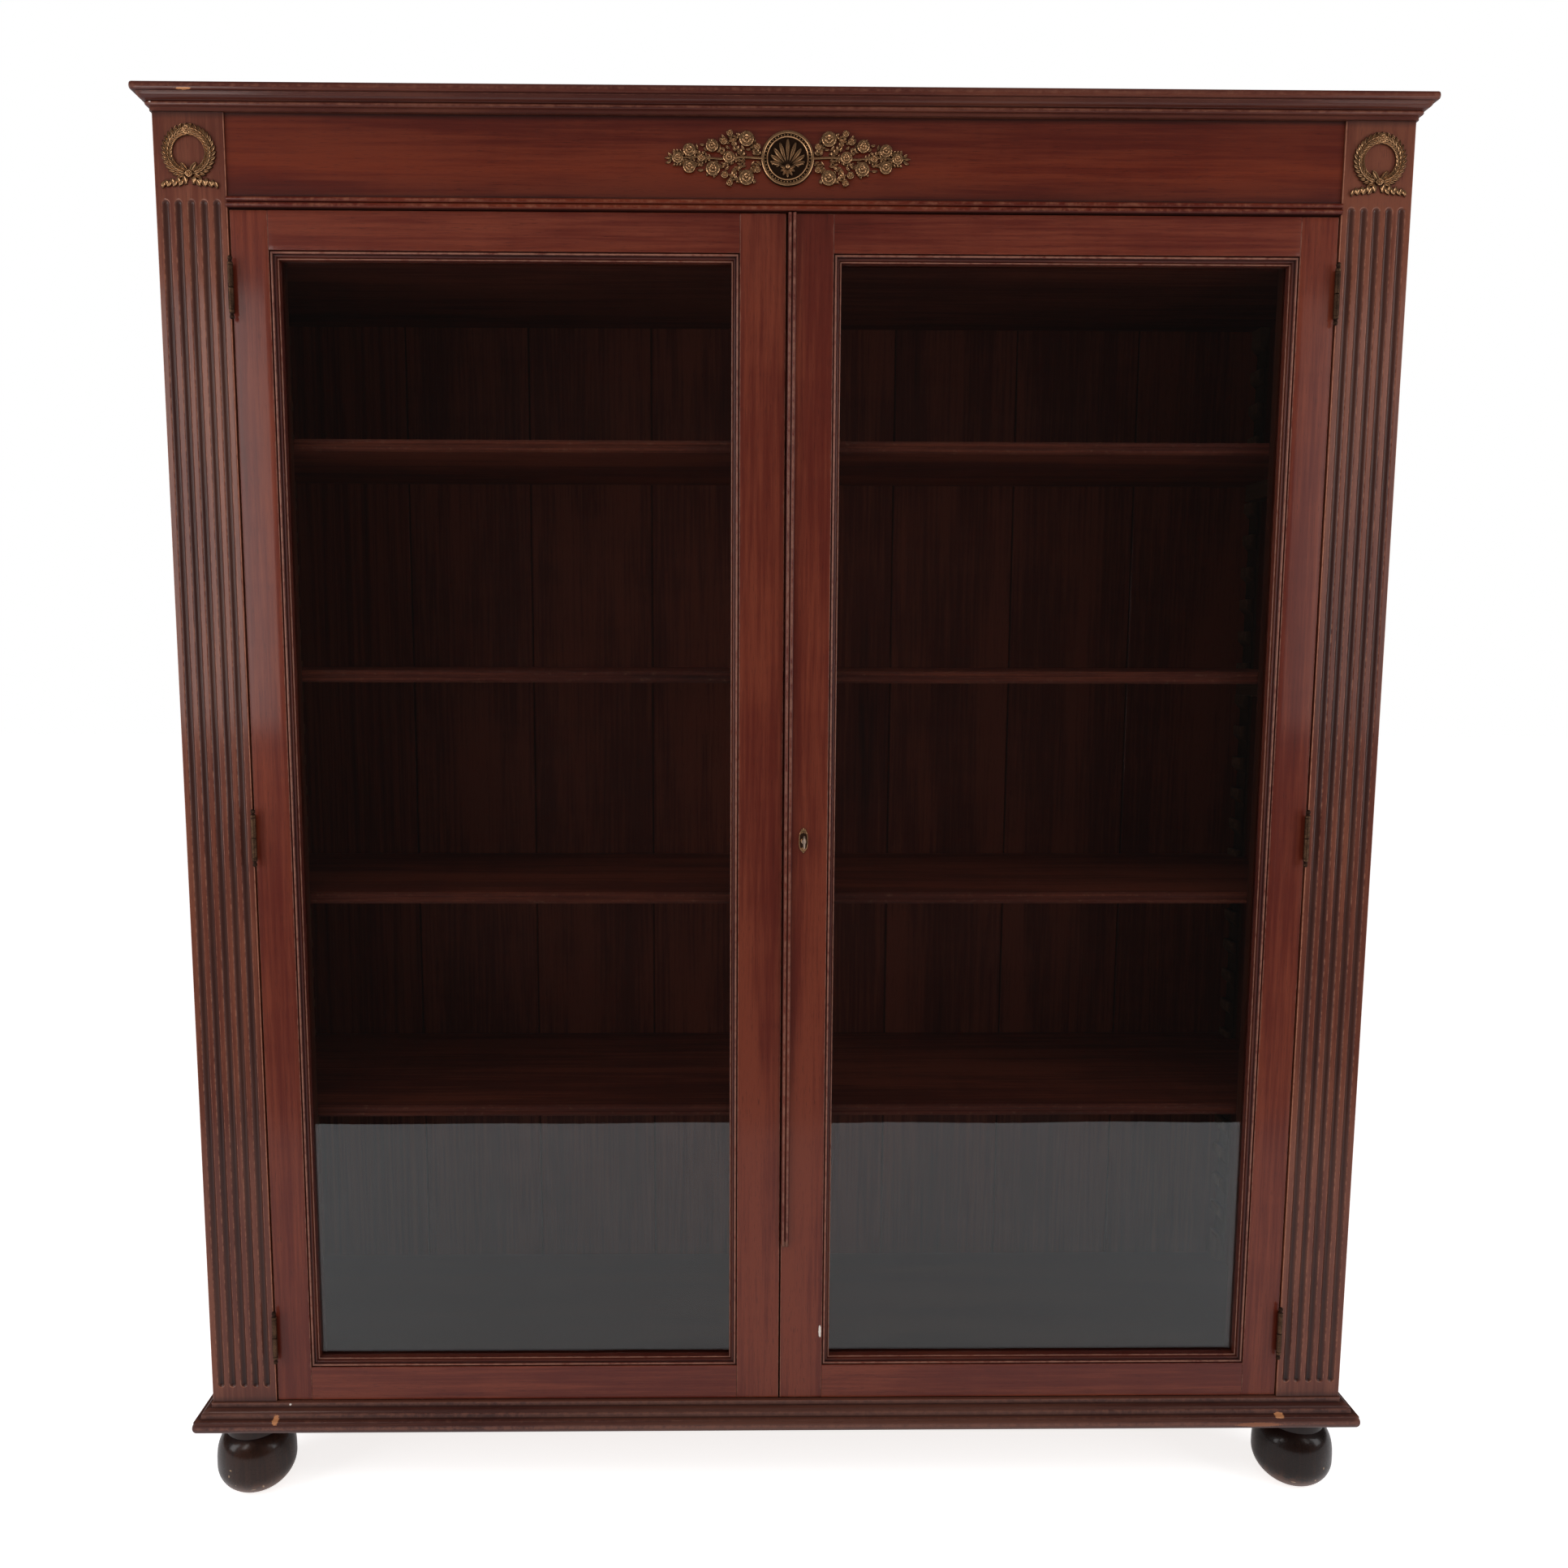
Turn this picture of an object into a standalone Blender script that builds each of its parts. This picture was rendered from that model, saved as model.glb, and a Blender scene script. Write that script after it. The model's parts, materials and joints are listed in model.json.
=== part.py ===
"""Glazed bookcase with adjustable shelves.

Metres, +Z up, front towards -Y. The origin is on the floor, under the middle of the
bookcase's own bounding box. Every physical piece is one object with one closed mesh.
Depths are counted backwards from the face of the corner posts, through depth().
"""

import math

import bmesh
import bpy
from mathutils import Matrix, Vector

# ---------------------------------------------------------------- driving sizes
CASE_WIDTH = 1.500
CASE_DEPTH = 0.370
TOTAL_HEIGHT = 1.787

FOOT_HEIGHT = 0.108
FOOT_RADIUS = 0.051
FOOT_WAIST = 0.0365          # height of the ball's widest ring
FOOT_INSET = 0.040           # front foot's axis, in from the case's faces
BACK_FOOT_SPARE = 0.003      # back foot's ball, in front of the case's back
FOOT_PAD_RADIUS = 0.024      # flat that meets the floor
FOOT_FULLNESS = 3.0          # above 2 the ball's shoulder is squarer than a circle
FOOT_SHOULDER = 1.15         # the shoulder's full height, as a share of what shows
COLLAR_RADIUS = 0.038
COLLAR_HEIGHT = 0.032
DOWEL_RADIUS = 0.012
DOWEL_LENGTH = 0.018

BASE_HEIGHT = 0.0315
BASE_NOSE = 0.021            # how far the base moulding stands out
CROWN_HEIGHT = 0.0265
CROWN_NOSE = 0.018

POST_WIDTH = 0.084
STOP_GAP = 0.0025            # closed door's back to the door stop
STOP_REACH = 0.054           # door stop, in from the post's inner edge
STOP_THICK = 0.018
FLUTE_COUNT = 5
FLUTE_MARGIN = 0.0118        # first flute's axis, in from the post's edge
FLUTE_RADIUS = 0.005
FLUTE_DEPTH = 0.003
FLUTE_FOOT = 0.0205          # plain wood below the flutes
FLUTE_HEAD = 0.1035          # plain wood above them, which carries the wreath

SIDE_THICK = 0.020
BACK_THICK = 0.014
FRIEZE_HEIGHT = 0.095
FRIEZE_THICK = 0.019
FRIEZE_SET = 0.003           # frieze's face, behind the posts' face
BEAD_HEIGHT = 0.013
BEAD_PROUD = 0.004
FLOOR_RISE = 0.0205          # inner floor, above the base board
FLOOR_SUNK = 0.004           # how far the inner floor reaches into the base board
STOP_STEP = 0.001            # door stop's top, below the inner floor
CEILING_DROP = 0.0475        # ceiling's underside, below the bead
CEILING_THICK = 0.018

DOOR_THICK = 0.022
DOOR_SET = 0.002             # door's face, behind the posts' face
DOOR_GAP = 0.0015            # running gap round each door
MEETING_GAP = 0.002          # between the two doors
OUTER_FLAT = 0.045           # flat of the hinge stile
MEETING_FLAT = 0.0555        # flat of the meeting stile
RAIL_FLAT = 0.0455
MOULD_WIDTH = 0.010          # moulded edge round the glass
MOULD_SET = 0.008            # and how far it lies behind the door's face
GLASS_THICK = 0.003
GROOVE_DEPTH = 0.006
GROOVE_PLAY = 0.0004

ASTRAGAL_WIDTH = 0.0105
ASTRAGAL_PROUD = 0.0045
ASTRAGAL_MISSING = 0.213     # length broken off at the bottom

HINGE_INSET = 0.091          # hinge's middle, in from the door's ends
PIN_OUT = 0.0045             # pin's axis, in front of the posts' face
PIN_IN = 0.0025              # pin's axis, in from the post's inner edge
PIN_RADIUS = 0.0020
PIN_BORE_RADIUS = 0.0022
PIN_LENGTH = 0.0215
KNUCKLE_RADIUS = 0.0040
KNUCKLE_HALF = 0.030
TIP_HEIGHT = 0.007           # ball finial on each end
TIP_BALL = ((0.0024, 0.0003), (0.0036, 0.0028), (0.0026, 0.0064))
PIN_END_PLAY = 0.0008        # above the pin, in the door half's bore
LEAF_THICK = 0.0012
LEAF_BACK = 0.004            # leaf's end, in front of the door's back
LEAF_HALF = 0.028
LEAF_CLEAR = 0.0015          # leaf's free half, behind the other half's knuckle
NECK_CLEAR = 0.0012          # neck's end, off the hinge's middle

RACK_THICK = 0.014
RACK_WIDTH = 0.030
NOTCH_PITCH = 0.048
NOTCH_DEPTH = 0.009
FIRST_LEDGE = 0.041          # lowest notch, above the inner floor
TOP_NOTCH_MARGIN = 0.020
CLEAT_HEIGHT = 0.024
CLEAT_WIDTH = 0.022
SHELF_THICK = 0.015
SHELF_PLAY = 0.002           # round each shelf
SHELF_COUNT = 4

LOCK_DROP = 0.004            # key's axis, below the door's middle
LOCK_BACKSET = 0.025         # key's axis, in from the door's edge
LOCK_BOLT_SIZE = (0.0175, 0.0074, 0.019)
LOCK_MORTISE = (0.039, 0.009, 0.040)
LOCK_THROW = 0.008
STRIKE_SPARE = 0.004         # strike's floor, beyond the thrown bolt
KEY_REACH = 0.0185           # bow's outer end, in front of the posts' face
KEY_PAST = 0.0030            # shank's inner end, past the door's middle
KEY_SHANK_RADIUS = 0.0019
KEY_BOW = (0.0100, 0.0170)   # depth and height of the bow's ring
KEY_BOW_RIM = 0.0022
KEY_BIT_DROP = 0.0085
KEY_BIT_FRONT = 0.0035       # bit's front, before the door's middle
KEY_BIT_BACK = 0.0018        # and its back, past it
KEY_THICK = 0.0025
KEYHOLE_RADIUS = 0.0028
ESCUTCHEON_THICK = 0.0014
ESCUTCHEON_SIZE = (0.015, 0.035)

BOLT_SIDE = 0.006            # square flush bolts
BOLT_LENGTH = 0.110
BOLT_PLAY = 0.0004
FLUSH_THROW = 0.010
SOCKET_SPARE = 0.002         # socket's floor, beyond the thrown bolt
BOLT_INSET = 0.0008          # bolt's face, behind the meeting edge

MOUNT_THICK = 0.005
MOUNT_LENGTH = 0.293
MOUNT_HALF = 0.024           # half height of the foliage beside the medallion
MOUNT_TAPER = 2.2            # how late the foliage narrows towards its tips
MEDALLION_RADIUS = 0.0320
WREATH_OUTER = 0.0338
WREATH_INNER = 0.0215
WREATH_DROP = 0.0440         # wreath's centre, below the crown
RIBBON_SIZE = (0.068, 0.0165)
RIBBON_TOP = 0.030           # ribbon's upper edge, below the wreath's centre

JOINT = 0.0003               # gap between touching pieces
OVERSHOOT = 0.010            # how far a cutter runs past what it cuts

# ---------------------------------------------------------------- derived places
FACE_Y = BASE_NOSE - (CASE_DEPTH + BASE_NOSE) / 2
HALF_WIDTH = CASE_WIDTH / 2
DOOR_BACK = DOOR_SET + DOOR_THICK
DOOR_MIDDLE_DEPTH = DOOR_SET + DOOR_THICK / 2
POST_INNER = HALF_WIDTH - POST_WIDTH
POST_THICK = DOOR_BACK + STOP_GAP
STOP_INNER = POST_INNER - STOP_REACH
STOP_BACK = POST_THICK + STOP_THICK
SIDE_INNER = HALF_WIDTH - SIDE_THICK
BACK_FACE = CASE_DEPTH - BACK_THICK

BASE_TOP = FOOT_HEIGHT + BASE_HEIGHT
CROWN_BOTTOM = TOTAL_HEIGHT - CROWN_HEIGHT
FRIEZE_BOTTOM = CROWN_BOTTOM - FRIEZE_HEIGHT
BEAD_BOTTOM = FRIEZE_BOTTOM - BEAD_HEIGHT
FLOOR_TOP = BASE_TOP + FLOOR_RISE
CEILING_BOTTOM = BEAD_BOTTOM - CEILING_DROP

DOOR_BOTTOM = BASE_TOP + DOOR_GAP
DOOR_TOP = BEAD_BOTTOM - DOOR_GAP
DOOR_OUTER = POST_INNER - DOOR_GAP
DOOR_EDGE = MEETING_GAP / 2
GLASS_MIDDLE = DOOR_SET + (MOULD_SET + DOOR_THICK) / 2
PIN_X = POST_INNER - PIN_IN
LOCK_Z = (DOOR_BOTTOM + DOOR_TOP) / 2 - LOCK_DROP
LOCK_X = DOOR_EDGE + LOCK_BACKSET
LEAF_DEPTH = DOOR_BACK - LEAF_BACK
STRIKE_DEPTH = LOCK_THROW + STRIKE_SPARE
BOLT_SOCKET = FLUSH_THROW + SOCKET_SPARE
KEY_TIP = DOOR_MIDDLE_DEPTH + KEY_PAST

RACK_INNER = SIDE_INNER - JOINT - RACK_THICK
FRONT_RACK = STOP_BACK + JOINT
BACK_RACK = BACK_FACE - JOINT - RACK_WIDTH
TOOTH_SLOPE = NOTCH_DEPTH / NOTCH_PITCH
LEFT = -1
RIGHT = 1
SIDES = ((LEFT, "left"), (RIGHT, "right"))


def depth(distance):
    """World Y of a plane that lies this far behind the face of the posts."""
    return FACE_Y + distance


# ---------------------------------------------------------------- scene and tools
for old in list(bpy.data.objects):
    bpy.data.objects.remove(old, do_unlink=True)

PARTS = bpy.data.collections.new("bookcase")
bpy.context.scene.collection.children.link(PARTS)
CUTTERS = bpy.data.collections.new("cutters")
bpy.context.scene.collection.children.link(CUTTERS)


def make_material(name, colour, roughness, metallic=0.0):
    """A plain Principled material."""
    material = bpy.data.materials.new(name)
    material.use_nodes = True
    shader = material.node_tree.nodes["Principled BSDF"]
    shader.inputs["Base Color"].default_value = (*colour, 1.0)
    shader.inputs["Roughness"].default_value = roughness
    shader.inputs["Metallic"].default_value = metallic
    return material


MAHOGANY = make_material("mahogany", (0.150, 0.038, 0.020), 0.32)
INNER_WOOD = make_material("inner_wood", (0.120, 0.045, 0.026), 0.55)
DARK_WOOD = make_material("dark_wood", (0.022, 0.010, 0.007), 0.22)
BRONZE = make_material("gilt_bronze", (0.420, 0.280, 0.110), 0.35, 1.0)
BRASS = make_material("old_brass", (0.230, 0.150, 0.070), 0.45, 1.0)
STEEL = make_material("steel", (0.350, 0.340, 0.330), 0.40, 1.0)
GLASS = make_material("glass", (0.700, 0.740, 0.720), 0.03)


def place(name, mesh, location, material):
    """Put a mesh into the bookcase's collection as one named piece."""
    piece = bpy.data.objects.new(name, mesh)
    piece.location = location
    mesh.materials.clear()
    mesh.materials.append(material)
    PARTS.objects.link(piece)
    return piece


def as_cutter(piece):
    """Move a piece among the cutters, which are guides and not parts."""
    PARTS.objects.unlink(piece)
    CUTTERS.objects.link(piece)
    piece.hide_render = True
    piece.display_type = "WIRE"
    return piece


def evaluated_mesh(piece):
    """The piece's mesh with its modifiers, its curve or its screw worked out."""
    bpy.context.view_layer.update()
    graph = bpy.context.evaluated_depsgraph_get()
    return bpy.data.meshes.new_from_object(piece.evaluated_get(graph))


def combine(piece, other, operation):
    """Cut another solid out of a piece, or join it on, and remove the other solid."""
    step = piece.modifiers.new(operation.lower(), "BOOLEAN")
    step.operation = operation
    step.solver = "EXACT"
    step.object = as_cutter(other)
    material = piece.data.materials[0]
    mesh = evaluated_mesh(piece)
    piece.modifiers.clear()
    piece.data = mesh
    mesh.materials.clear()
    mesh.materials.append(material)
    bpy.data.objects.remove(other, do_unlink=True)


def cut(piece, other):
    combine(piece, other, "DIFFERENCE")


def join(piece, other):
    combine(piece, other, "UNION")


def box(name, low, high, material=MAHOGANY):
    """A rectangular board between two opposite corners."""
    low = Vector(low)
    high = Vector(high)
    shape = bmesh.new()
    bmesh.ops.create_cube(shape, size=1.0)
    bmesh.ops.scale(shape, vec=high - low, verts=shape.verts)
    mesh = bpy.data.meshes.new(name)
    shape.to_mesh(mesh)
    shape.free()
    return place(name, mesh, (low + high) / 2, material)


# A flat outline is drawn in (u, v) and then turned: "X" puts u, v on Y, Z,
# "Y" puts them on X, Z, and "Z" leaves them on X, Y.
TURNS = {
    "X": Matrix(((0, 0, 1), (1, 0, 0), (0, 1, 0))).to_4x4(),
    "Y": Matrix(((1, 0, 0), (0, 0, -1), (0, 1, 0))).to_4x4(),
    "Z": Matrix.Identity(4),
}


def outline(name, loops, thickness, facing, location, material=MAHOGANY):
    """A flat outline, with any holes, given a thickness centred on its plane."""
    curve = bpy.data.curves.new(name, "CURVE")
    curve.dimensions = "2D"
    curve.fill_mode = "BOTH"
    curve.extrude = thickness / 2
    for loop in loops:
        spline = curve.splines.new("POLY")
        spline.points.add(len(loop) - 1)
        for point, (u, v) in zip(spline.points, loop):
            point.co = (u, v, 0.0, 1.0)
        spline.use_cyclic_u = True
    flat = bpy.data.objects.new(name, curve)
    PARTS.objects.link(flat)
    mesh = evaluated_mesh(flat)
    bpy.data.objects.remove(flat, do_unlink=True)
    shape = bmesh.new()
    shape.from_mesh(mesh)
    bmesh.ops.remove_doubles(shape, verts=shape.verts, dist=0.00001)
    bmesh.ops.dissolve_limit(
        shape, angle_limit=math.radians(0.5), verts=shape.verts, edges=shape.edges,
    )
    bmesh.ops.recalc_face_normals(shape, faces=shape.faces)
    shape.transform(TURNS[facing])
    shape.to_mesh(mesh)
    shape.free()
    mesh.name = name
    return place(name, mesh, location, material)


def turned(name, profile, steps, location, material):
    """A turned shape: a profile of (radius, height), run down its outer side."""
    mesh = bpy.data.meshes.new(name)
    points = [(radius, 0.0, height) for radius, height in profile]
    edges = [(i, i + 1) for i in range(len(points) - 1)]
    mesh.from_pydata(points, edges, [])
    piece = place(name, mesh, location, material)
    lathe = piece.modifiers.new("lathe", "SCREW")
    lathe.steps = steps
    lathe.render_steps = steps
    lathe.use_merge_vertices = True
    lathe.merge_threshold = 0.00001
    solid = evaluated_mesh(piece)
    piece.modifiers.clear()
    piece.data = solid
    solid.materials.clear()
    solid.materials.append(material)
    solid.shade_smooth()
    solid.set_sharp_from_angle(angle=math.radians(35))
    return piece


def arc(centre_u, centre_v, radius_u, radius_v, start, end, steps):
    """Points along an elliptical arc, angles in degrees, both ends included."""
    points = []
    for i in range(steps + 1):
        angle = math.radians(start + (end - start) * i / steps)
        u = centre_u + radius_u * math.cos(angle)
        v = centre_v + radius_v * math.sin(angle)
        points.append((u, v))
    return points


def axis_empty(name, location):
    """An empty on a joint's axis, which carries the pieces that move together."""
    empty = bpy.data.objects.new(name, None)
    empty.location = location
    empty.empty_display_size = 0.05
    PARTS.objects.link(empty)
    return empty


def carry(empty, pieces):
    """Parent pieces to an empty without moving them."""
    for piece in pieces:
        piece.location -= empty.location
        piece.parent = empty


# ---------------------------------------------------------------- moulded boards
# Each moulding runs up the board as (share of its height, share of its nose).
CROWN_STEPS = (
    (0.00, 0.12), (0.20, 0.12), (0.22, 0.33), (0.40, 0.33), (0.62, 0.74),
    (0.66, 0.74), (0.68, 1.00), (1.00, 1.00),
)
BASE_STEPS = (
    (0.00, 0.93), (0.07, 1.00), (0.42, 1.00), (0.48, 0.82), (0.50, 0.62),
    (0.68, 0.50), (0.80, 0.24), (0.82, 0.10), (1.00, 0.10),
)


def moulded_board(name, bottom, height, nose, steps):
    """A board whose front and side edges follow a moulding; its back stays flat."""
    def ring(share_up, share_out):
        out = nose * share_out
        reach = HALF_WIDTH + out
        z = bottom + height * share_up
        front = depth(-out)
        back = depth(CASE_DEPTH)
        return ((-reach, front, z), (reach, front, z), (reach, back, z), (-reach, back, z))

    def settle(verts, corners):
        for vert in verts:
            nearest = min(corners, key=lambda c: (c[0] * vert.co.x < 0, abs(c[1] - vert.co.y)))
            vert.co = nearest

    shape = bmesh.new()
    bmesh.ops.create_cube(shape, size=1.0)
    under = [vert for vert in shape.verts if vert.co.z < 0]
    over = [vert for vert in shape.verts if vert.co.z > 0]
    top = next(face for face in shape.faces if all(vert in over for vert in face.verts))
    settle(under, ring(*steps[0]))
    settle(over, ring(*steps[1]))
    for step in steps[2:]:
        grown = bmesh.ops.extrude_face_region(shape, geom=[top])
        bmesh.ops.delete(shape, geom=[top], context="FACES_ONLY")
        verts = [part for part in grown["geom"] if isinstance(part, bmesh.types.BMVert)]
        top = next(part for part in grown["geom"] if isinstance(part, bmesh.types.BMFace))
        settle(verts, ring(*step))
    bmesh.ops.recalc_face_normals(shape, faces=shape.faces)
    mesh = bpy.data.meshes.new(name)
    shape.to_mesh(mesh)
    shape.free()
    return place(name, mesh, (0.0, 0.0, 0.0), MAHOGANY)


def inner_board_outline(front, play):
    """Plan of a board that fills the case behind the doors, narrower between the stops."""
    wide = SIDE_INNER - play
    narrow = STOP_INNER - play
    step = STOP_BACK + play
    back = BACK_FACE - play
    half = [(narrow, front), (narrow, step), (wide, step), (wide, back)]
    right = [(x, depth(y)) for x, y in half]
    left = [(-x, depth(y)) for x, y in reversed(half)]
    return right + left


def bolt_pocket(low, high):
    """The square socket that a flush bolt slides or shoots into."""
    middle_x = -DOOR_EDGE - BOLT_INSET - BOLT_SIDE / 2
    half = BOLT_SIDE / 2 + BOLT_PLAY
    y = depth(DOOR_MIDDLE_DEPTH)
    return box("pocket", (middle_x - half, y - half, low), (middle_x + half, y + half, high))


def foot_axes():
    """Plan position and name of each foot."""
    x = HALF_WIDTH - FOOT_INSET
    back_row = CASE_DEPTH - FOOT_RADIUS - BACK_FOOT_SPARE
    places = []
    for row, back in (("front", FOOT_INSET), ("back", back_row)):
        for side, word in SIDES:
            places.append((f"foot_{row}_{word}", side * x, depth(back)))
    return places


def build_crown():
    return moulded_board("crown", CROWN_BOTTOM, CROWN_HEIGHT, CROWN_NOSE, CROWN_STEPS)


def build_base_board():
    """The moulded base with the raised inner floor, sockets for feet and a bolt."""
    board = moulded_board("base_board", FOOT_HEIGHT, BASE_HEIGHT, BASE_NOSE, BASE_STEPS)
    low = BASE_TOP - FLOOR_SUNK
    wide = SIDE_INNER - JOINT
    narrow = STOP_INNER - JOINT
    join(board, box(
        "floor", (-wide, depth(STOP_BACK + JOINT), low), (wide, depth(BACK_FACE - JOINT), FLOOR_TOP),
    ))
    join(board, box(
        "stop", (-narrow, depth(POST_THICK + JOINT), low),
        (narrow, depth(STOP_BACK + FLOOR_SUNK), FLOOR_TOP - STOP_STEP),
    ))
    for name, x, y in foot_axes():
        socket_top = FOOT_HEIGHT + DOWEL_LENGTH + JOINT
        socket = turned(
            "socket",
            [(0.0, socket_top), (DOWEL_RADIUS + JOINT, socket_top),
             (DOWEL_RADIUS + JOINT, FOOT_HEIGHT - OVERSHOOT), (0.0, FOOT_HEIGHT - OVERSHOOT)],
            16, (x, y, 0.0), MAHOGANY,
        )
        cut(board, socket)
    cut(board, bolt_pocket(BASE_TOP - BOLT_SOCKET, BASE_TOP + OVERSHOOT))
    return board


def build_feet():
    """Turned feet: a dowel, a collar and a flattened ball."""
    collar_top = FOOT_HEIGHT - JOINT
    ball_top = FOOT_HEIGHT - COLLAR_HEIGHT
    upper_half = (ball_top - FOOT_WAIST) * FOOT_SHOULDER
    profile = [
        (0.0, FOOT_HEIGHT + DOWEL_LENGTH),
        (DOWEL_RADIUS, FOOT_HEIGHT + DOWEL_LENGTH),
        (DOWEL_RADIUS, collar_top),
        (COLLAR_RADIUS, collar_top),
        (COLLAR_RADIUS, ball_top),
    ]
    for share in (1.0, 0.82, 0.60, 0.30):
        rise = (ball_top - FOOT_WAIST) * share
        reach = (1 - (rise / upper_half) ** FOOT_FULLNESS) ** (1 / FOOT_FULLNESS)
        profile.append((FOOT_RADIUS * reach, FOOT_WAIST + rise))
    lower = math.acos(FOOT_PAD_RADIUS / FOOT_RADIUS)
    lower_half = FOOT_WAIST / math.sin(lower)
    for i in range(5):
        angle = lower * i / 4
        profile.append((FOOT_RADIUS * math.cos(angle), FOOT_WAIST - lower_half * math.sin(angle)))
    profile.append((0.0, 0.0))
    for name, x, y in foot_axes():
        turned(name, profile, 16, (x, y, 0.0), DARK_WOOD)


# ---------------------------------------------------------------- case
def build_posts():
    """Fluted corner posts with the door stop behind them, in one L-shaped piece."""
    for side, word in SIDES:
        plan = [
            (POST_INNER, 0.0), (HALF_WIDTH, 0.0), (HALF_WIDTH, STOP_BACK),
            (STOP_INNER, STOP_BACK), (STOP_INNER, POST_THICK), (POST_INNER, POST_THICK),
        ]
        loop = [(side * x, depth(y)) for x, y in plan]
        low = BASE_TOP + JOINT
        high = CROWN_BOTTOM - JOINT
        post = outline(f"post_{word}", [loop], high - low, "Z", (0.0, 0.0, (low + high) / 2))
        cut_flutes(post, side)
        for middle in hinge_heights():
            cut(post, leaf_pocket(side, middle, POST_INNER - OVERSHOOT, POST_INNER + LEAF_THICK + JOINT))


def cut_flutes(post, side):
    """Five grooves of circular section with round ends, cut one by one."""
    bottom = BASE_TOP + FLUTE_FOOT + FLUTE_RADIUS
    top = CROWN_BOTTOM - FLUTE_HEAD - FLUTE_RADIUS
    pitch = (POST_WIDTH - 2 * FLUTE_MARGIN) / (FLUTE_COUNT - 1)
    profile = [(u, v) for u, v in arc(0.0, top, FLUTE_RADIUS, FLUTE_RADIUS, 90, 0, 4)]
    profile += [(u, v) for u, v in arc(0.0, bottom, FLUTE_RADIUS, FLUTE_RADIUS, 0, -90, 4)]
    for i in range(FLUTE_COUNT):
        x = side * (POST_INNER + FLUTE_MARGIN + i * pitch)
        y = depth(FLUTE_DEPTH - FLUTE_RADIUS)
        cut(post, turned("flute", profile, 12, (x, y, 0.0), MAHOGANY))


def build_walls():
    low = BASE_TOP + JOINT
    high = CROWN_BOTTOM - JOINT
    for side, word in SIDES:
        xs = sorted((side * SIDE_INNER, side * HALF_WIDTH))
        box(
            f"side_{word}", (xs[0], depth(STOP_BACK + JOINT), low),
            (xs[1], depth(CASE_DEPTH), high),
        )
    box(
        "back_panel", (-SIDE_INNER + JOINT, depth(BACK_FACE), low),
        (SIDE_INNER - JOINT, depth(CASE_DEPTH), high), INNER_WOOD,
    )
    outline(
        "ceiling_board", [inner_board_outline(POST_THICK + JOINT, JOINT)], CEILING_THICK,
        "Z", (0.0, 0.0, CEILING_BOTTOM + CEILING_THICK / 2), INNER_WOOD,
    )


def build_frieze():
    """The board over the doors, with the double bead worked on its lower edge."""
    front = FRIEZE_SET
    back = FRIEZE_SET + FRIEZE_THICK
    valley = FRIEZE_BOTTOM - BEAD_HEIGHT / 2
    section = [(front, CROWN_BOTTOM - JOINT), (front, FRIEZE_BOTTOM)]
    for low, high in ((valley, FRIEZE_BOTTOM), (BEAD_BOTTOM, valley)):
        middle = (low + high) / 2
        section += arc(0.0, middle, -BEAD_PROUD, (high - low) / 2, 70, -70, 4)
    section += [(0.0, BEAD_BOTTOM), (back, BEAD_BOTTOM), (back, CROWN_BOTTOM - JOINT)]
    loop = [(depth(y), z) for y, z in section]
    width = 2 * (POST_INNER - JOINT)
    board = outline("frieze", [loop], width, "X", (0.0, 0.0, 0.0))
    cut(board, bolt_pocket(BEAD_BOTTOM - OVERSHOOT, BEAD_BOTTOM + BOLT_SOCKET))


# ---------------------------------------------------------------- racks, cleats, shelves
def ledge_height(notch):
    """Height of a notch's flat ledge above the floor that the bookcase stands on."""
    return FLOOR_TOP + FIRST_LEDGE + notch * NOTCH_PITCH


def notch_count():
    """How many notches fit between the inner floor and the ceiling."""
    room = CEILING_BOTTOM - TOP_NOTCH_MARGIN - ledge_height(0)
    return int(room / NOTCH_PITCH + 1e-6) + 1


def shelf_notches():
    """Which notch each shelf stands on, the highest first, spaced evenly."""
    spacing = (notch_count() + 1) // (SHELF_COUNT + 1)
    return [spacing * number for number in range(SHELF_COUNT, 0, -1)]


def build_racks():
    """Toothed strips: each tooth has a flat ledge and a long slope above it."""
    low = FLOOR_TOP + JOINT
    high = CEILING_BOTTOM - JOINT
    for row, start, facing in (("front", FRONT_RACK, 1), ("back", BACK_RACK + RACK_WIDTH, -1)):
        edge = RACK_WIDTH
        teeth = [(0.0, high), (0.0, low), (edge, low)]
        for notch in range(notch_count()):
            ledge = ledge_height(notch)
            teeth += [(edge, ledge), (edge - NOTCH_DEPTH, ledge)]
        last = ledge_height(notch_count() - 1)
        slope_top = min(high, last + NOTCH_PITCH)
        teeth += [(edge - NOTCH_DEPTH + (slope_top - last) * TOOTH_SLOPE, slope_top)]
        if high > slope_top:
            teeth += [(edge, high)]
        loop = [(depth(start + facing * u), z) for u, z in teeth]
        for side, word in SIDES:
            x = side * (RACK_INNER + RACK_THICK / 2)
            outline(f"rack_{row}_{word}", [loop], RACK_THICK, "X", (x, 0.0, 0.0), INNER_WOOD)


def build_cleats():
    """Loose bars with slanted ends, which lie in the notches of two racks."""
    front_root = FRONT_RACK + RACK_WIDTH - NOTCH_DEPTH + JOINT
    back_root = BACK_RACK + NOTCH_DEPTH - JOINT
    slant = CLEAT_HEIGHT * TOOTH_SLOPE
    for number, notch in enumerate(shelf_notches(), start=1):
        low = ledge_height(notch) + JOINT
        high = low + CLEAT_HEIGHT
        loop = [
            (depth(front_root), low), (depth(back_root), low),
            (depth(back_root - slant), high), (depth(front_root + slant), high),
        ]
        for side, word in SIDES:
            x = side * (SIDE_INNER - JOINT - CLEAT_WIDTH / 2)
            middle_y = depth((front_root + back_root) / 2)
            local = [(u - middle_y, v - low) for u, v in loop]
            outline(
                f"cleat_{number}_{word}", [local], CLEAT_WIDTH, "X", (x, middle_y, low), INNER_WOOD,
            )


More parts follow.
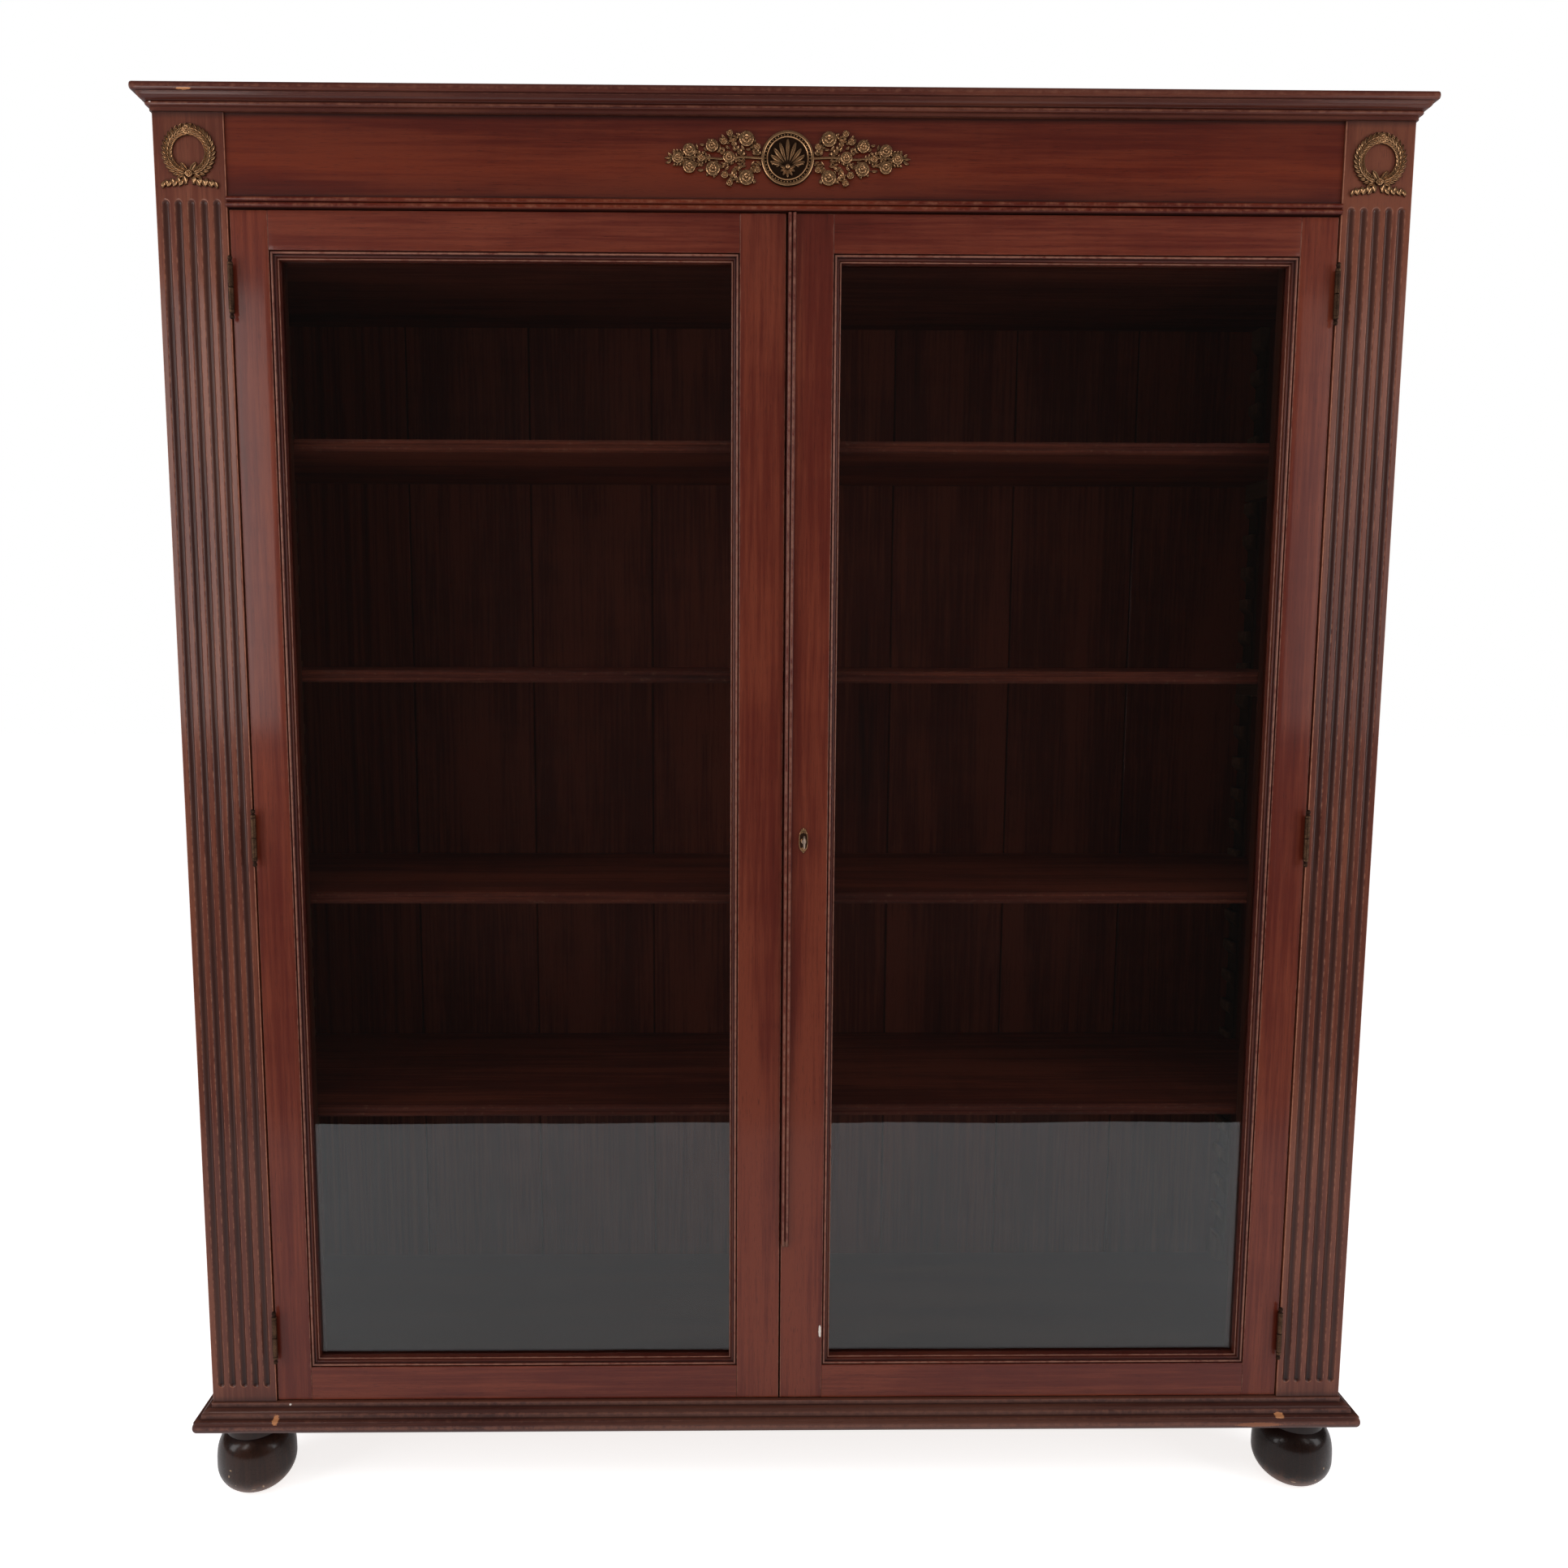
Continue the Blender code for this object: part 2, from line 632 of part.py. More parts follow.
def build_shelves():
    """Boards notched round the four racks, so that they lift straight up."""
    front = STOP_BACK + SHELF_PLAY
    back = BACK_FACE - SHELF_PLAY
    reach = SIDE_INNER - SHELF_PLAY
    notch_x = RACK_INNER - SHELF_PLAY
    front_notch = FRONT_RACK + RACK_WIDTH + SHELF_PLAY
    back_notch = BACK_RACK - SHELF_PLAY
    half = [
        (notch_x, front), (notch_x, front_notch), (reach, front_notch),
        (reach, back_notch), (notch_x, back_notch), (notch_x, back),
    ]
    right = [(x, depth(y)) for x, y in half]
    left = [(-x, depth(y)) for x, y in reversed(half)]
    for number, notch in enumerate(shelf_notches(), start=1):
        bottom = ledge_height(notch) + CLEAT_HEIGHT + 2 * JOINT
        outline(
            f"shelf_{number}", [right + left], SHELF_THICK, "Z",
            (0.0, 0.0, bottom + SHELF_THICK / 2),
        )


# ---------------------------------------------------------------- hinges
def hinge_heights():
    low = DOOR_BOTTOM + HINGE_INSET
    high = DOOR_TOP - HINGE_INSET
    return (low, (low + high) / 2, high)


def leaf_pocket(side, middle, x_start, x_end):
    """The shallow recess that a hinge leaf lies in."""
    xs = sorted((side * x_start, side * x_end))
    half = LEAF_HALF + JOINT
    return box(
        "pocket", (xs[0], depth(-OVERSHOOT), middle - half),
        (xs[1], depth(LEAF_DEPTH + JOINT), middle + half),
    )


def hinge_leaf(name, side, middle, x_start, neck, neck_front):
    """A leaf with a neck: neck is -1 below the hinge's middle and +1 above it."""
    leaf_front = -PIN_OUT + KNUCKLE_RADIUS + LEAF_CLEAR
    section = [
        (neck_front, neck * LEAF_HALF), (LEAF_DEPTH, neck * LEAF_HALF),
        (LEAF_DEPTH, -neck * LEAF_HALF), (leaf_front, -neck * LEAF_HALF),
        (leaf_front, neck * NECK_CLEAR), (neck_front, neck * NECK_CLEAR),
    ]
    loop = [(depth(y), z) for y, z in section]
    x = side * (x_start + LEAF_THICK / 2)
    return outline(name, [loop], LEAF_THICK, "X", (x, 0.0, middle), BRASS)


def build_hinges():
    """Lift-off hinges: the case half carries the pin, the door half turns on it."""
    tip = KNUCKLE_HALF + TIP_HEIGHT
    ball = [(radius, tip - drop) for radius, drop in TIP_BALL]
    case_profile = [
        (0.0, PIN_LENGTH), (PIN_RADIUS, PIN_LENGTH), (PIN_RADIUS, -JOINT / 2),
        (KNUCKLE_RADIUS, -JOINT / 2), (KNUCKLE_RADIUS, -KNUCKLE_HALF),
    ]
    case_profile += [(radius, -height) for radius, height in reversed(ball)]
    case_profile += [(0.0, -tip)]
    door_profile = [(0.0, tip), *ball, (KNUCKLE_RADIUS, KNUCKLE_HALF), (KNUCKLE_RADIUS, JOINT / 2)]
    bore_top = PIN_LENGTH + PIN_END_PLAY
    door_profile += [(PIN_BORE_RADIUS, JOINT / 2), (PIN_BORE_RADIUS, bore_top), (0.0, bore_top)]
    beside_bore = -PIN_OUT + (PIN_BORE_RADIUS + KNUCKLE_RADIUS) / 2
    door_halves = {LEFT: [], RIGHT: []}
    for side, word in SIDES:
        for middle, level in zip(hinge_heights(), ("bottom", "middle", "top")):
            pin = (side * PIN_X, depth(-PIN_OUT), middle)
            case_half = turned(f"hinge_{word}_{level}_case", case_profile, 12, pin, BRASS)
            join(case_half, hinge_leaf("leaf", side, middle, POST_INNER, -1, -PIN_OUT))
            door_half = turned(f"hinge_{word}_{level}_door", door_profile, 12, pin, BRASS)
            leaf = hinge_leaf("leaf", side, middle, DOOR_OUTER - LEAF_THICK, 1, beside_bore)
            join(door_half, leaf)
            door_halves[side].append(door_half)
    return door_halves


# ---------------------------------------------------------------- doors
def glass_range(flat_out, flat_in):
    """Where a pane starts and ends between two members' flats, in their groove."""
    return flat_out + MOULD_WIDTH - GROOVE_DEPTH, flat_in - MOULD_WIDTH + GROOVE_DEPTH


def glass_box(name, side, play, material):
    """The pane, or with some play the groove that it lies in."""
    start, end = glass_range(DOOR_EDGE + MEETING_FLAT, DOOR_OUTER - OUTER_FLAT)
    low, high = glass_range(DOOR_BOTTOM + RAIL_FLAT, DOOR_TOP - RAIL_FLAT)
    xs = sorted((side * (start - play), side * (end + play)))
    half = GLASS_THICK / 2 + play
    return box(
        name, (xs[0], depth(GLASS_MIDDLE - half), low - play),
        (xs[1], depth(GLASS_MIDDLE + half), high + play), material,
    )


def build_stile(name, side, outer, flat, inward):
    """A full-height upright with its moulded edge towards the glass."""
    inner_flat = outer + inward * flat
    sight = inner_flat + inward * MOULD_WIDTH
    plan = [
        (outer, DOOR_SET), (inner_flat, DOOR_SET), (inner_flat, DOOR_SET + MOULD_SET),
        (sight, DOOR_SET + MOULD_SET), (sight, DOOR_BACK), (outer, DOOR_BACK),
    ]
    loop = [(side * x, depth(y)) for x, y in plan]
    piece = outline(
        name, [loop], DOOR_TOP - DOOR_BOTTOM, "Z", (0.0, 0.0, (DOOR_TOP + DOOR_BOTTOM) / 2),
    )
    cut(piece, glass_box("groove", side, GROOVE_PLAY, GLASS))
    return piece


def build_rail(name, side, outer, inward):
    """A rail between the stiles, coped over their moulded edges."""
    inner_flat = outer + inward * RAIL_FLAT
    sight = inner_flat + inward * MOULD_WIDTH
    section = [
        (DOOR_SET, outer), (DOOR_SET, inner_flat), (DOOR_SET + MOULD_SET, inner_flat),
        (DOOR_SET + MOULD_SET, sight), (DOOR_BACK, sight), (DOOR_BACK, outer),
    ]
    loop = [(depth(y), z) for y, z in section]
    start = DOOR_EDGE + MEETING_FLAT + JOINT
    end = DOOR_OUTER - OUTER_FLAT - JOINT
    middle = side * (start + end) / 2
    piece = outline(name, [loop], end - start, "X", (middle, 0.0, 0.0))
    low, high = sorted((outer - inward * OVERSHOOT, sight + inward * OVERSHOOT))
    front = depth(DOOR_SET + MOULD_SET - JOINT)
    back = depth(DOOR_BACK + OVERSHOOT)
    for edge, reach in ((start, MOULD_WIDTH), (end, -MOULD_WIDTH)):
        away = -OVERSHOOT if reach > 0 else OVERSHOOT
        xs = sorted((side * (edge + away), side * (edge + reach)))
        cut(piece, box("cope", (xs[0], front, low), (xs[1], back, high)))
    cut(piece, glass_box("groove", side, GROOVE_PLAY, GLASS))
    return piece


def build_door_frame(side, word):
    """Two stiles, two rails and the pane of one door."""
    outer = build_stile(f"{word}_door_outer_stile", side, DOOR_OUTER, OUTER_FLAT, -1)
    for middle in hinge_heights():
        start = DOOR_OUTER - LEAF_THICK - JOINT
        cut(outer, leaf_pocket(side, middle, start, DOOR_OUTER + OVERSHOOT))
    meeting = build_stile(f"{word}_door_meeting_stile", side, DOOR_EDGE, MEETING_FLAT, 1)
    top = build_rail(f"{word}_door_top_rail", side, DOOR_TOP, -1)
    bottom = build_rail(f"{word}_door_bottom_rail", side, DOOR_BOTTOM, 1)
    glass = glass_box(f"{word}_door_glass", side, 0.0, GLASS)
    return outer, meeting, top, bottom, glass


def lock_box(name, x_low, x_high, thickness, height, material=MAHOGANY):
    """A block centred on the lock's height and on the door's thickness."""
    y = depth(DOOR_MIDDLE_DEPTH)
    return box(
        name, (x_low, y - thickness / 2, LOCK_Z - height / 2),
        (x_high, y + thickness / 2, LOCK_Z + height / 2), material,
    )


def keyhole_loop(radius, slot_half, drop):
    """A round hole with a slot below it, centred on the key's axis."""
    start = -90 + math.degrees(math.asin(slot_half / radius))
    points = arc(0.0, 0.0, radius, radius, start, 180 - start, 10)
    return points + [(-slot_half, -drop), (slot_half, -drop)]


def build_flush_bolts(stile):
    """Square bolts in open channels at the top and bottom of the left door's edge."""
    x_high = -DOOR_EDGE - BOLT_INSET
    x_low = x_high - BOLT_SIDE
    y = depth(DOOR_MIDDLE_DEPTH)
    half = BOLT_SIDE / 2
    channel = BOLT_LENGTH + BOLT_SOCKET
    bolts = []
    for name, low, high, channel_low, channel_high in (
        ("top_bolt", DOOR_TOP - JOINT - BOLT_LENGTH, DOOR_TOP - JOINT,
         DOOR_TOP - channel, DOOR_TOP + OVERSHOOT),
        ("bottom_bolt", DOOR_BOTTOM + JOINT, DOOR_BOTTOM + JOINT + BOLT_LENGTH,
         DOOR_BOTTOM - OVERSHOOT, DOOR_BOTTOM + channel),
    ):
        cut(stile, box(
            "channel", (x_low - BOLT_PLAY, y - half - BOLT_PLAY, channel_low),
            (OVERSHOOT, y + half + BOLT_PLAY, channel_high),
        ))
        bolts.append(box(name, (x_low, y - half, low), (x_high, y + half, high), BRASS))
    return bolts


def build_lock(left_stile, right_stile):
    """Mortise, keyhole, bolt and strike; the key passes through the escutcheon."""
    bolt_long, bolt_thick, bolt_high = LOCK_BOLT_SIZE
    long, thick, high = LOCK_MORTISE
    cut(right_stile, lock_box("mortise", DOOR_EDGE - OVERSHOOT, DOOR_EDGE + long, thick, high))
    strike_play = 2 * BOLT_PLAY
    cut(left_stile, lock_box(
        "strike", -DOOR_EDGE - STRIKE_DEPTH, OVERSHOOT, bolt_thick + 2 * strike_play,
        bolt_high + 2 * strike_play,
    ))
    slot_half = KEY_THICK / 2 + BOLT_PLAY
    drop = KEY_BIT_DROP + BOLT_PLAY
    hole = keyhole_loop(KEYHOLE_RADIUS, slot_half, drop)
    mouth = depth(DOOR_SET - OVERSHOOT / 2)
    floor = depth(DOOR_MIDDLE_DEPTH)
    cut(right_stile, outline(
        "keyhole", [hole], floor - mouth, "Y", (LOCK_X, (floor + mouth) / 2, LOCK_Z),
    ))
    bolt_start = DOOR_EDGE + BOLT_INSET
    lock_bolt = lock_box("lock_bolt", bolt_start, bolt_start + bolt_long, bolt_thick, bolt_high, STEEL)
    width, height = ESCUTCHEON_SIZE
    rim = arc(0.0, 0.0, width / 2, height / 2, 0, 345, 23)
    plate_y = depth(DOOR_SET - JOINT - ESCUTCHEON_THICK / 2)
    escutcheon = outline(
        "escutcheon", [rim, hole], ESCUTCHEON_THICK, "Y", (LOCK_X, plate_y, LOCK_Z), BRONZE,
    )
    return lock_bolt, escutcheon


def build_key():
    """A shank with a bit inside the lock and a ring-shaped bow in front."""
    bow_depth, bow_height = KEY_BOW
    bow_back = -KEY_REACH + bow_depth
    shank_front = bow_back - KEY_BOW_RIM / 2
    pivot = Vector((LOCK_X, depth(DOOR_SET), LOCK_Z))
    shank = [
        (0.0, KEY_TIP), (KEY_SHANK_RADIUS, KEY_TIP),
        (KEY_SHANK_RADIUS, shank_front), (0.0, shank_front),
    ]
    key = turned("key", shank, 12, (0.0, 0.0, 0.0), STEEL)
    key.data.transform(Matrix.Rotation(math.radians(-90), 4, "X"))
    key.data.transform(Matrix.Translation((0.0, -DOOR_SET, 0.0)))
    key.location = pivot
    middle = -KEY_REACH + bow_depth / 2
    ring = arc(depth(middle), LOCK_Z, bow_depth / 2, bow_height / 2, 0, 337.5, 15)
    hole = arc(
        depth(middle), LOCK_Z, bow_depth / 2 - KEY_BOW_RIM, bow_height / 2 - KEY_BOW_RIM, 0, 337.5, 15,
    )
    join(key, outline("bow", [ring, hole], KEY_THICK, "X", (LOCK_X, 0.0, 0.0), STEEL))
    half = KEY_THICK / 2
    bit_front = depth(DOOR_MIDDLE_DEPTH - KEY_BIT_FRONT)
    bit_back = depth(DOOR_MIDDLE_DEPTH + KEY_BIT_BACK)
    join(key, box(
        "bit", (LOCK_X - half, bit_front, LOCK_Z - KEY_BIT_DROP),
        (LOCK_X + half, bit_back, LOCK_Z), STEEL,
    ))
    return key


def build_astragal():
    """The half-round strip over the doors' meeting line, short by its broken end."""
    low = DOOR_BOTTOM + ASTRAGAL_MISSING
    high = DOOR_TOP
    middle = DOOR_EDGE + ASTRAGAL_WIDTH / 2
    bow = arc(middle, DOOR_SET - JOINT, ASTRAGAL_WIDTH / 2, -ASTRAGAL_PROUD, 0, 180, 8)
    loop = [(x, depth(y)) for x, y in bow]
    return outline("astragal", [loop], high - low, "Z", (0.0, 0.0, (low + high) / 2))


# ---------------------------------------------------------------- gilt mounts
def build_frieze_mount():
    """Foliage that tapers to both tips, with a round medallion in the middle."""
    half_length = MOUNT_LENGTH / 2
    join_x = MEDALLION_RADIUS * math.cos(math.radians(45))
    stations = 9
    upper = []
    for i in range(stations + 1):
        x = half_length - (half_length - join_x) * i / stations
        upper.append((x, MOUNT_HALF * (1 - (x / half_length) ** MOUNT_TAPER)))
    crest = arc(0.0, 0.0, MEDALLION_RADIUS, MEDALLION_RADIUS, 50, 130, 6)
    right_top = upper[:-1] + crest
    left_top = [(-x, z) for x, z in reversed(upper[1:-1])]
    top = right_top + left_top
    bottom = [(-x, -z) for x, z in right_top + left_top]
    y = depth(FRIEZE_SET - JOINT - MOUNT_THICK / 2)
    z = CROWN_BOTTOM - FRIEZE_HEIGHT / 2
    outline("frieze_mount", [top + bottom], MOUNT_THICK, "Y", (0.0, y, z), BRONZE)


def build_wreaths():
    """A ring of laurel with a ribbon tied across its foot."""
    width, height = RIBBON_SIZE
    meet = math.degrees(math.asin(RIBBON_TOP / WREATH_OUTER))
    rim = arc(0.0, 0.0, WREATH_OUTER, WREATH_OUTER, -meet, 180 + meet, 20)
    low = -RIBBON_TOP - height
    ribbon = [(-width / 2, -RIBBON_TOP), (-width / 2, low), (width / 2, low), (width / 2, -RIBBON_TOP)]
    inner = arc(0.0, 0.0, WREATH_INNER, WREATH_INNER, 0, 340, 17)
    y = depth(-JOINT - MOUNT_THICK / 2)
    z = CROWN_BOTTOM - WREATH_DROP
    for side, word in SIDES:
        x = side * (HALF_WIDTH - POST_WIDTH / 2)
        outline(f"wreath_{word}", [rim + ribbon, inner], MOUNT_THICK, "Y", (x, y, z), BRONZE)


# ---------------------------------------------------------------- assembly
def build_doors():
    """Both doors with their hinges, lock and bolts, hung on their pins' axes."""
    hinges = build_hinges()
    left = build_door_frame(LEFT, "left")
    right = build_door_frame(RIGHT, "right")
    bolts = build_flush_bolts(left[1])
    lock_bolt, escutcheon = build_lock(left[1], right[1])
    astragal = build_astragal()
    key = build_key()
    left_axis = axis_empty("left_door_axis", (-PIN_X, depth(-PIN_OUT), DOOR_BOTTOM))
    right_axis = axis_empty("right_door_axis", (PIN_X, depth(-PIN_OUT), DOOR_BOTTOM))
    carry(left_axis, [*left, *hinges[LEFT], *bolts])
    carry(right_axis, [*right, *hinges[RIGHT], lock_bolt, escutcheon, astragal, key])


def build_bookcase():
    build_crown()
    build_base_board()
    build_feet()
    build_posts()
    build_walls()
    build_frieze()
    build_racks()
    build_cleats()
    build_shelves()
    build_doors()
    build_frieze_mount()
    build_wreaths()


build_bookcase()
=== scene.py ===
# %% [markdown]
# # A glazed mahogany bookcase
# The real piece is a case of polished mahogany boards with a moulded crown and base,
# fluted corner posts, four ball feet, gilt mounts, and two locking doors in front of
# shelves that move up and down on notched racks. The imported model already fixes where
# every board is and what moves. This lesson makes the surfaces that are seen: each
# piece takes its place from the model's boxes, replaces the plain solid of the same
# name and rides on the same body.

# %% Load the frame
import json
import math
import bmesh
import bpy
import numpy as np
from mathutils import Matrix, Vector


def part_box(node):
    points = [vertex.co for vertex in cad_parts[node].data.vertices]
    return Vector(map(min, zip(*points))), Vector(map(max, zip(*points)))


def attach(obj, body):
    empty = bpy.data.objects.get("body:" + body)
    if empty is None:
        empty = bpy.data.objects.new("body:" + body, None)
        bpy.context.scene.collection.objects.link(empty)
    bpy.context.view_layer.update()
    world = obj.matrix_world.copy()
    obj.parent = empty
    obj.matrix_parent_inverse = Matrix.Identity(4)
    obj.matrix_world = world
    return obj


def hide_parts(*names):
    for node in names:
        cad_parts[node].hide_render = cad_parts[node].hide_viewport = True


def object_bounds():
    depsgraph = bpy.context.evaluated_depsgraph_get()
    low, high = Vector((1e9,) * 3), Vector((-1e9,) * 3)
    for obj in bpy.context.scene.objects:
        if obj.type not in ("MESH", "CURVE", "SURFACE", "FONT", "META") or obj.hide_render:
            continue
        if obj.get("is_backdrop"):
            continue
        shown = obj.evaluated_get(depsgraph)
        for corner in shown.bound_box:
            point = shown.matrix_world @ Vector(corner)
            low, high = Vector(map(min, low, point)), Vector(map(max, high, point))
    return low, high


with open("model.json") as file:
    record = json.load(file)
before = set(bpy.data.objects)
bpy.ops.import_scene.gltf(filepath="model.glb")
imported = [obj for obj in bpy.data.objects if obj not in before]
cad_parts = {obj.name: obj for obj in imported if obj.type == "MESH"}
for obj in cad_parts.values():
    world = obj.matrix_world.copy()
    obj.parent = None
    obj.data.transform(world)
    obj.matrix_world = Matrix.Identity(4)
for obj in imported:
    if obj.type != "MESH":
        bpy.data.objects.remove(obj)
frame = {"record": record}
cad_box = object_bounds()
body_of_node = {
    node: body
    for body, nodes in frame["record"]["behaviour"]["bodies"].items()
    for node in nodes
}


def corners(node):
    """The lowest and highest corner of a node's box, as two arrays."""
    low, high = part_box(node)
    return np.array(low), np.array(high)


# %% [markdown]
# ## Camera
# The eye stands a step and a half in front of the doors, at chest height, and looks
# slightly down, so the crown is seen from below and the base from above, and the
# uprights draw together towards the floor. The camera comes first because every later
# choice is judged through it.

# %% Camera
POST_FACE = corners("post_left")[0][1]
EYE_X = -0.082
EYE_AWAY = 1.524             # from the posts' face
EYE_HEIGHT = 1.135
TURN_DOWN = 6.39             # degrees, as the next two
TURN_RIGHT = 0.70
LEAN = 0.14


def placed(name, data):
    """A new object in the scene."""
    thing = bpy.data.objects.new(name, data)
    bpy.context.scene.collection.objects.link(thing)
    return thing


eye = bpy.data.cameras.new("eye")
eye.lens = 28.025
eye.sensor_width = 36.0
eye.shift_x = 0.0326
camera = placed("eye", eye)
camera.location = (EYE_X, POST_FACE - EYE_AWAY, EYE_HEIGHT)
camera.rotation_mode = "QUATERNION"
looking = (
    Matrix.Rotation(math.radians(-TURN_RIGHT), 4, "Z")
    @ Matrix.Rotation(math.radians(90 - TURN_DOWN), 4, "X")
    @ Matrix.Rotation(math.radians(LEAN), 4, "Z")
)
camera.rotation_quaternion = looking.to_quaternion()
bpy.context.scene.camera = camera
bpy.context.scene.view_settings.view_transform = "Standard"
print("eye at", tuple(round(value, 3) for value in camera.location))

# %% [markdown]
# ## Stage and light
# Polished wood and glass show what stands in front of them, so the room matters as much
# as the lamps. A pale sheet lies on the floor and reaches a little more than a metre in
# front of the doors; beyond it the room is dark. A dark screen that only reflections can
# see stands at that edge: the lower panes then mirror the pale floor and the upper panes
# mirror the dark room. A pane also mirrors with its back face, and that light has passed
# the glass, so for it the floor and the air past the screen are dark too. Two tall soft
# windows at the sides light the flutes, and two glowing cards put a shine on the doors.

# %% Floor, dark screen, windows
FLOOR_REACH = 1.28           # pale floor in front of the panes, as the doors mirror it


def fill_inputs(node, inputs):
    """Set a node's inputs: another node's output is linked, and anything else is a value."""
    for key, value in inputs.items():
        if isinstance(value, bpy.types.NodeSocket):
            node.id_data.links.new(value, node.inputs[key])
        else:
            node.inputs[key].default_value = value
    return node


def add_node(tree, kind, inputs=None, **settings):
    """Add a shader node, set its properties, and set or link its inputs."""
    made = tree.nodes.new("ShaderNode" + kind)
    for key, value in settings.items():
        setattr(made, key, value)
    return fill_inputs(made, inputs or {})


def new_material(name):
    """A material, its node tree and its Principled shader."""
    material = bpy.data.materials.new(name)
    material.use_nodes = True
    tree = material.node_tree
    return material, tree, tree.nodes["Principled BSDF"]


def emission(name, colour, strength):
    """A material that only glows."""
    material, tree, _ = new_material(name)
    tree.nodes.clear()
    glow = add_node(tree, "Emission", {"Color": (*colour, 1.0), "Strength": strength})
    add_node(tree, "OutputMaterial", {"Surface": glow.outputs[0]})
    return material


def either(tree, share, first, second):
    """A mix of two shaders: the first at share 0, the second at share 1."""
    return add_node(tree, "MixShader", {0: share, 1: first.outputs[0], 2: second.outputs[0]})


def card(name, corner, along, up, material, only_mirrored=True):
    """A flat four-cornered sheet: a corner and its two edges; most show only in reflections."""
    corner, along, up = (np.array(value, float) for value in (corner, along, up))
    points = [corner, corner + along, corner + along + up, corner + up]
    mesh = bpy.data.meshes.new(name)
    mesh.from_pydata([tuple(point) for point in points], [], [(0, 1, 2, 3)])
    mesh.materials.append(material)
    flat = placed(name, mesh)
    if only_mirrored:
        flat.visible_camera = False
        flat.visible_diffuse = False
        flat.visible_shadow = False
        flat.visible_transmission = False
    flat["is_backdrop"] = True


def past_screen(tree, place_y, limit):
    """1 for a ray that left a pane and lies beyond a place on the Y axis, or else 0."""
    paths = add_node(tree, "LightPath")
    beyond = add_node(tree, "Math", {0: place_y, 1: limit}, operation="LESS_THAN")
    return add_node(
        tree, "Math", {0: paths.outputs["Is Transmission Ray"], 1: beyond.outputs[0]},
        operation="MULTIPLY",
    ).outputs[0]


DARK_ROOM = (0.036, 0.034, 0.032)
SCREEN_Y = corners("left_door_glass")[0][1] - FLOOR_REACH
floor_paint, floor_tree, floor_shader = new_material("floor_paint")
floor_paths = add_node(floor_tree, "LightPath").outputs
floor_glow = add_node(
    floor_tree, "MapRange", {"Value": floor_paths["Is Camera Ray"], "To Min": 0.30, "To Max": 0.80},
)
fill_inputs(floor_shader, {
    "Base Color": (0.86, 0.86, 0.87, 1.0), "Roughness": 0.9,
    "Emission Color": (1.0, 0.98, 0.96, 1.0), "Emission Strength": floor_glow.outputs[0],
})
spot = add_node(floor_tree, "NewGeometry").outputs["Position"]
spot_y = add_node(floor_tree, "SeparateXYZ", {0: spot}).outputs["Y"]
unlit = add_node(floor_tree, "Emission", {"Color": (*DARK_ROOM, 1.0), "Strength": 1.0})
floor_mix = either(floor_tree, past_screen(floor_tree, spot_y, SCREEN_Y), floor_shader, unlit)
fill_inputs(floor_tree.nodes["Material Output"], {"Surface": floor_mix.outputs[0]})
card("floor", (-14.0, -10.0, 0.0), (28.0, 0.0, 0.0), (0.0, 24.0, 0.0), floor_paint, False)
card("dark_screen", (-6.0, SCREEN_Y, 0.0), (12.0, 0.0, 0.0), (0.0, 0.0, 4.0),
     emission("dark_room", DARK_ROOM, 1.0))
for name, left, strength in (("left_pane_light", -1.42, 5.0), ("right_pane_light", 1.20, 2.2)):
    card(name, (left, -1.40, 0.95), (0.36, 0.0, 0.0), (0.0, 0.0, 0.95),
         emission(name, (1.0, 0.95, 0.92), strength))


def window(name, place, aim, width, height, power, colour):
    """A soft rectangular light that faces a point."""
    lamp = bpy.data.lights.new(name, "AREA")
    lamp.shape = "RECTANGLE"
    lamp.size = width
    lamp.size_y = height
    lamp.energy = power
    lamp.color = colour
    holder = placed(name, lamp)
    holder.location = place
    holder.rotation_mode = "QUATERNION"
    holder.rotation_quaternion = (Vector(place) - Vector(aim)).to_track_quat("Z", "Y")


window("window_left", (-2.3, -1.25, 1.35), (-0.2, -0.2, 1.0), 1.0, 1.7, 22.0, (0.97, 0.98, 1.0))
window("window_right", (2.3, -1.25, 1.35), (0.2, -0.2, 1.0), 1.0, 1.7, 19.0, (0.97, 0.98, 1.0))
window("ceiling_light", (0.0, -1.9, 3.1), (0.0, -0.1, 0.9), 3.0, 1.2, 19.0, (1.0, 0.98, 0.95))

world = bpy.data.worlds.new("room")
bpy.context.scene.world = world
world.use_nodes = True
room = world.node_tree
room.nodes.clear()
rays = add_node(room, "LightPath").outputs
plain_air, seen_air, mirrored_air, unlit_air = (
    add_node(room, "Background", {"Color": (*colour, 1.0), "Strength": strength})
    for colour, strength in (
        ((0.90, 0.92, 1.0), 0.30), ((1.0, 1.0, 1.0), 1.0), ((0.60, 0.58, 0.58), 0.06), (DARK_ROOM, 1.0),
    )
)
air = either(room, rays["Is Glossy Ray"], plain_air, mirrored_air)
air = either(room, rays["Is Camera Ray"], air, seen_air)
air = either(room, rays["Is Transmission Ray"], air, seen_air)
direction = add_node(room, "TexCoord").outputs["Generated"]
direction_y = add_node(room, "SeparateXYZ", {0: direction}).outputs["Y"]
air = either(room, past_screen(room, direction_y, 0.0), air, unlit_air)
add_node(room, "OutputWorld", {"Surface": air.outputs[0]})
print("stage ready; pale floor reaches", FLOOR_REACH, "m in front of the panes")

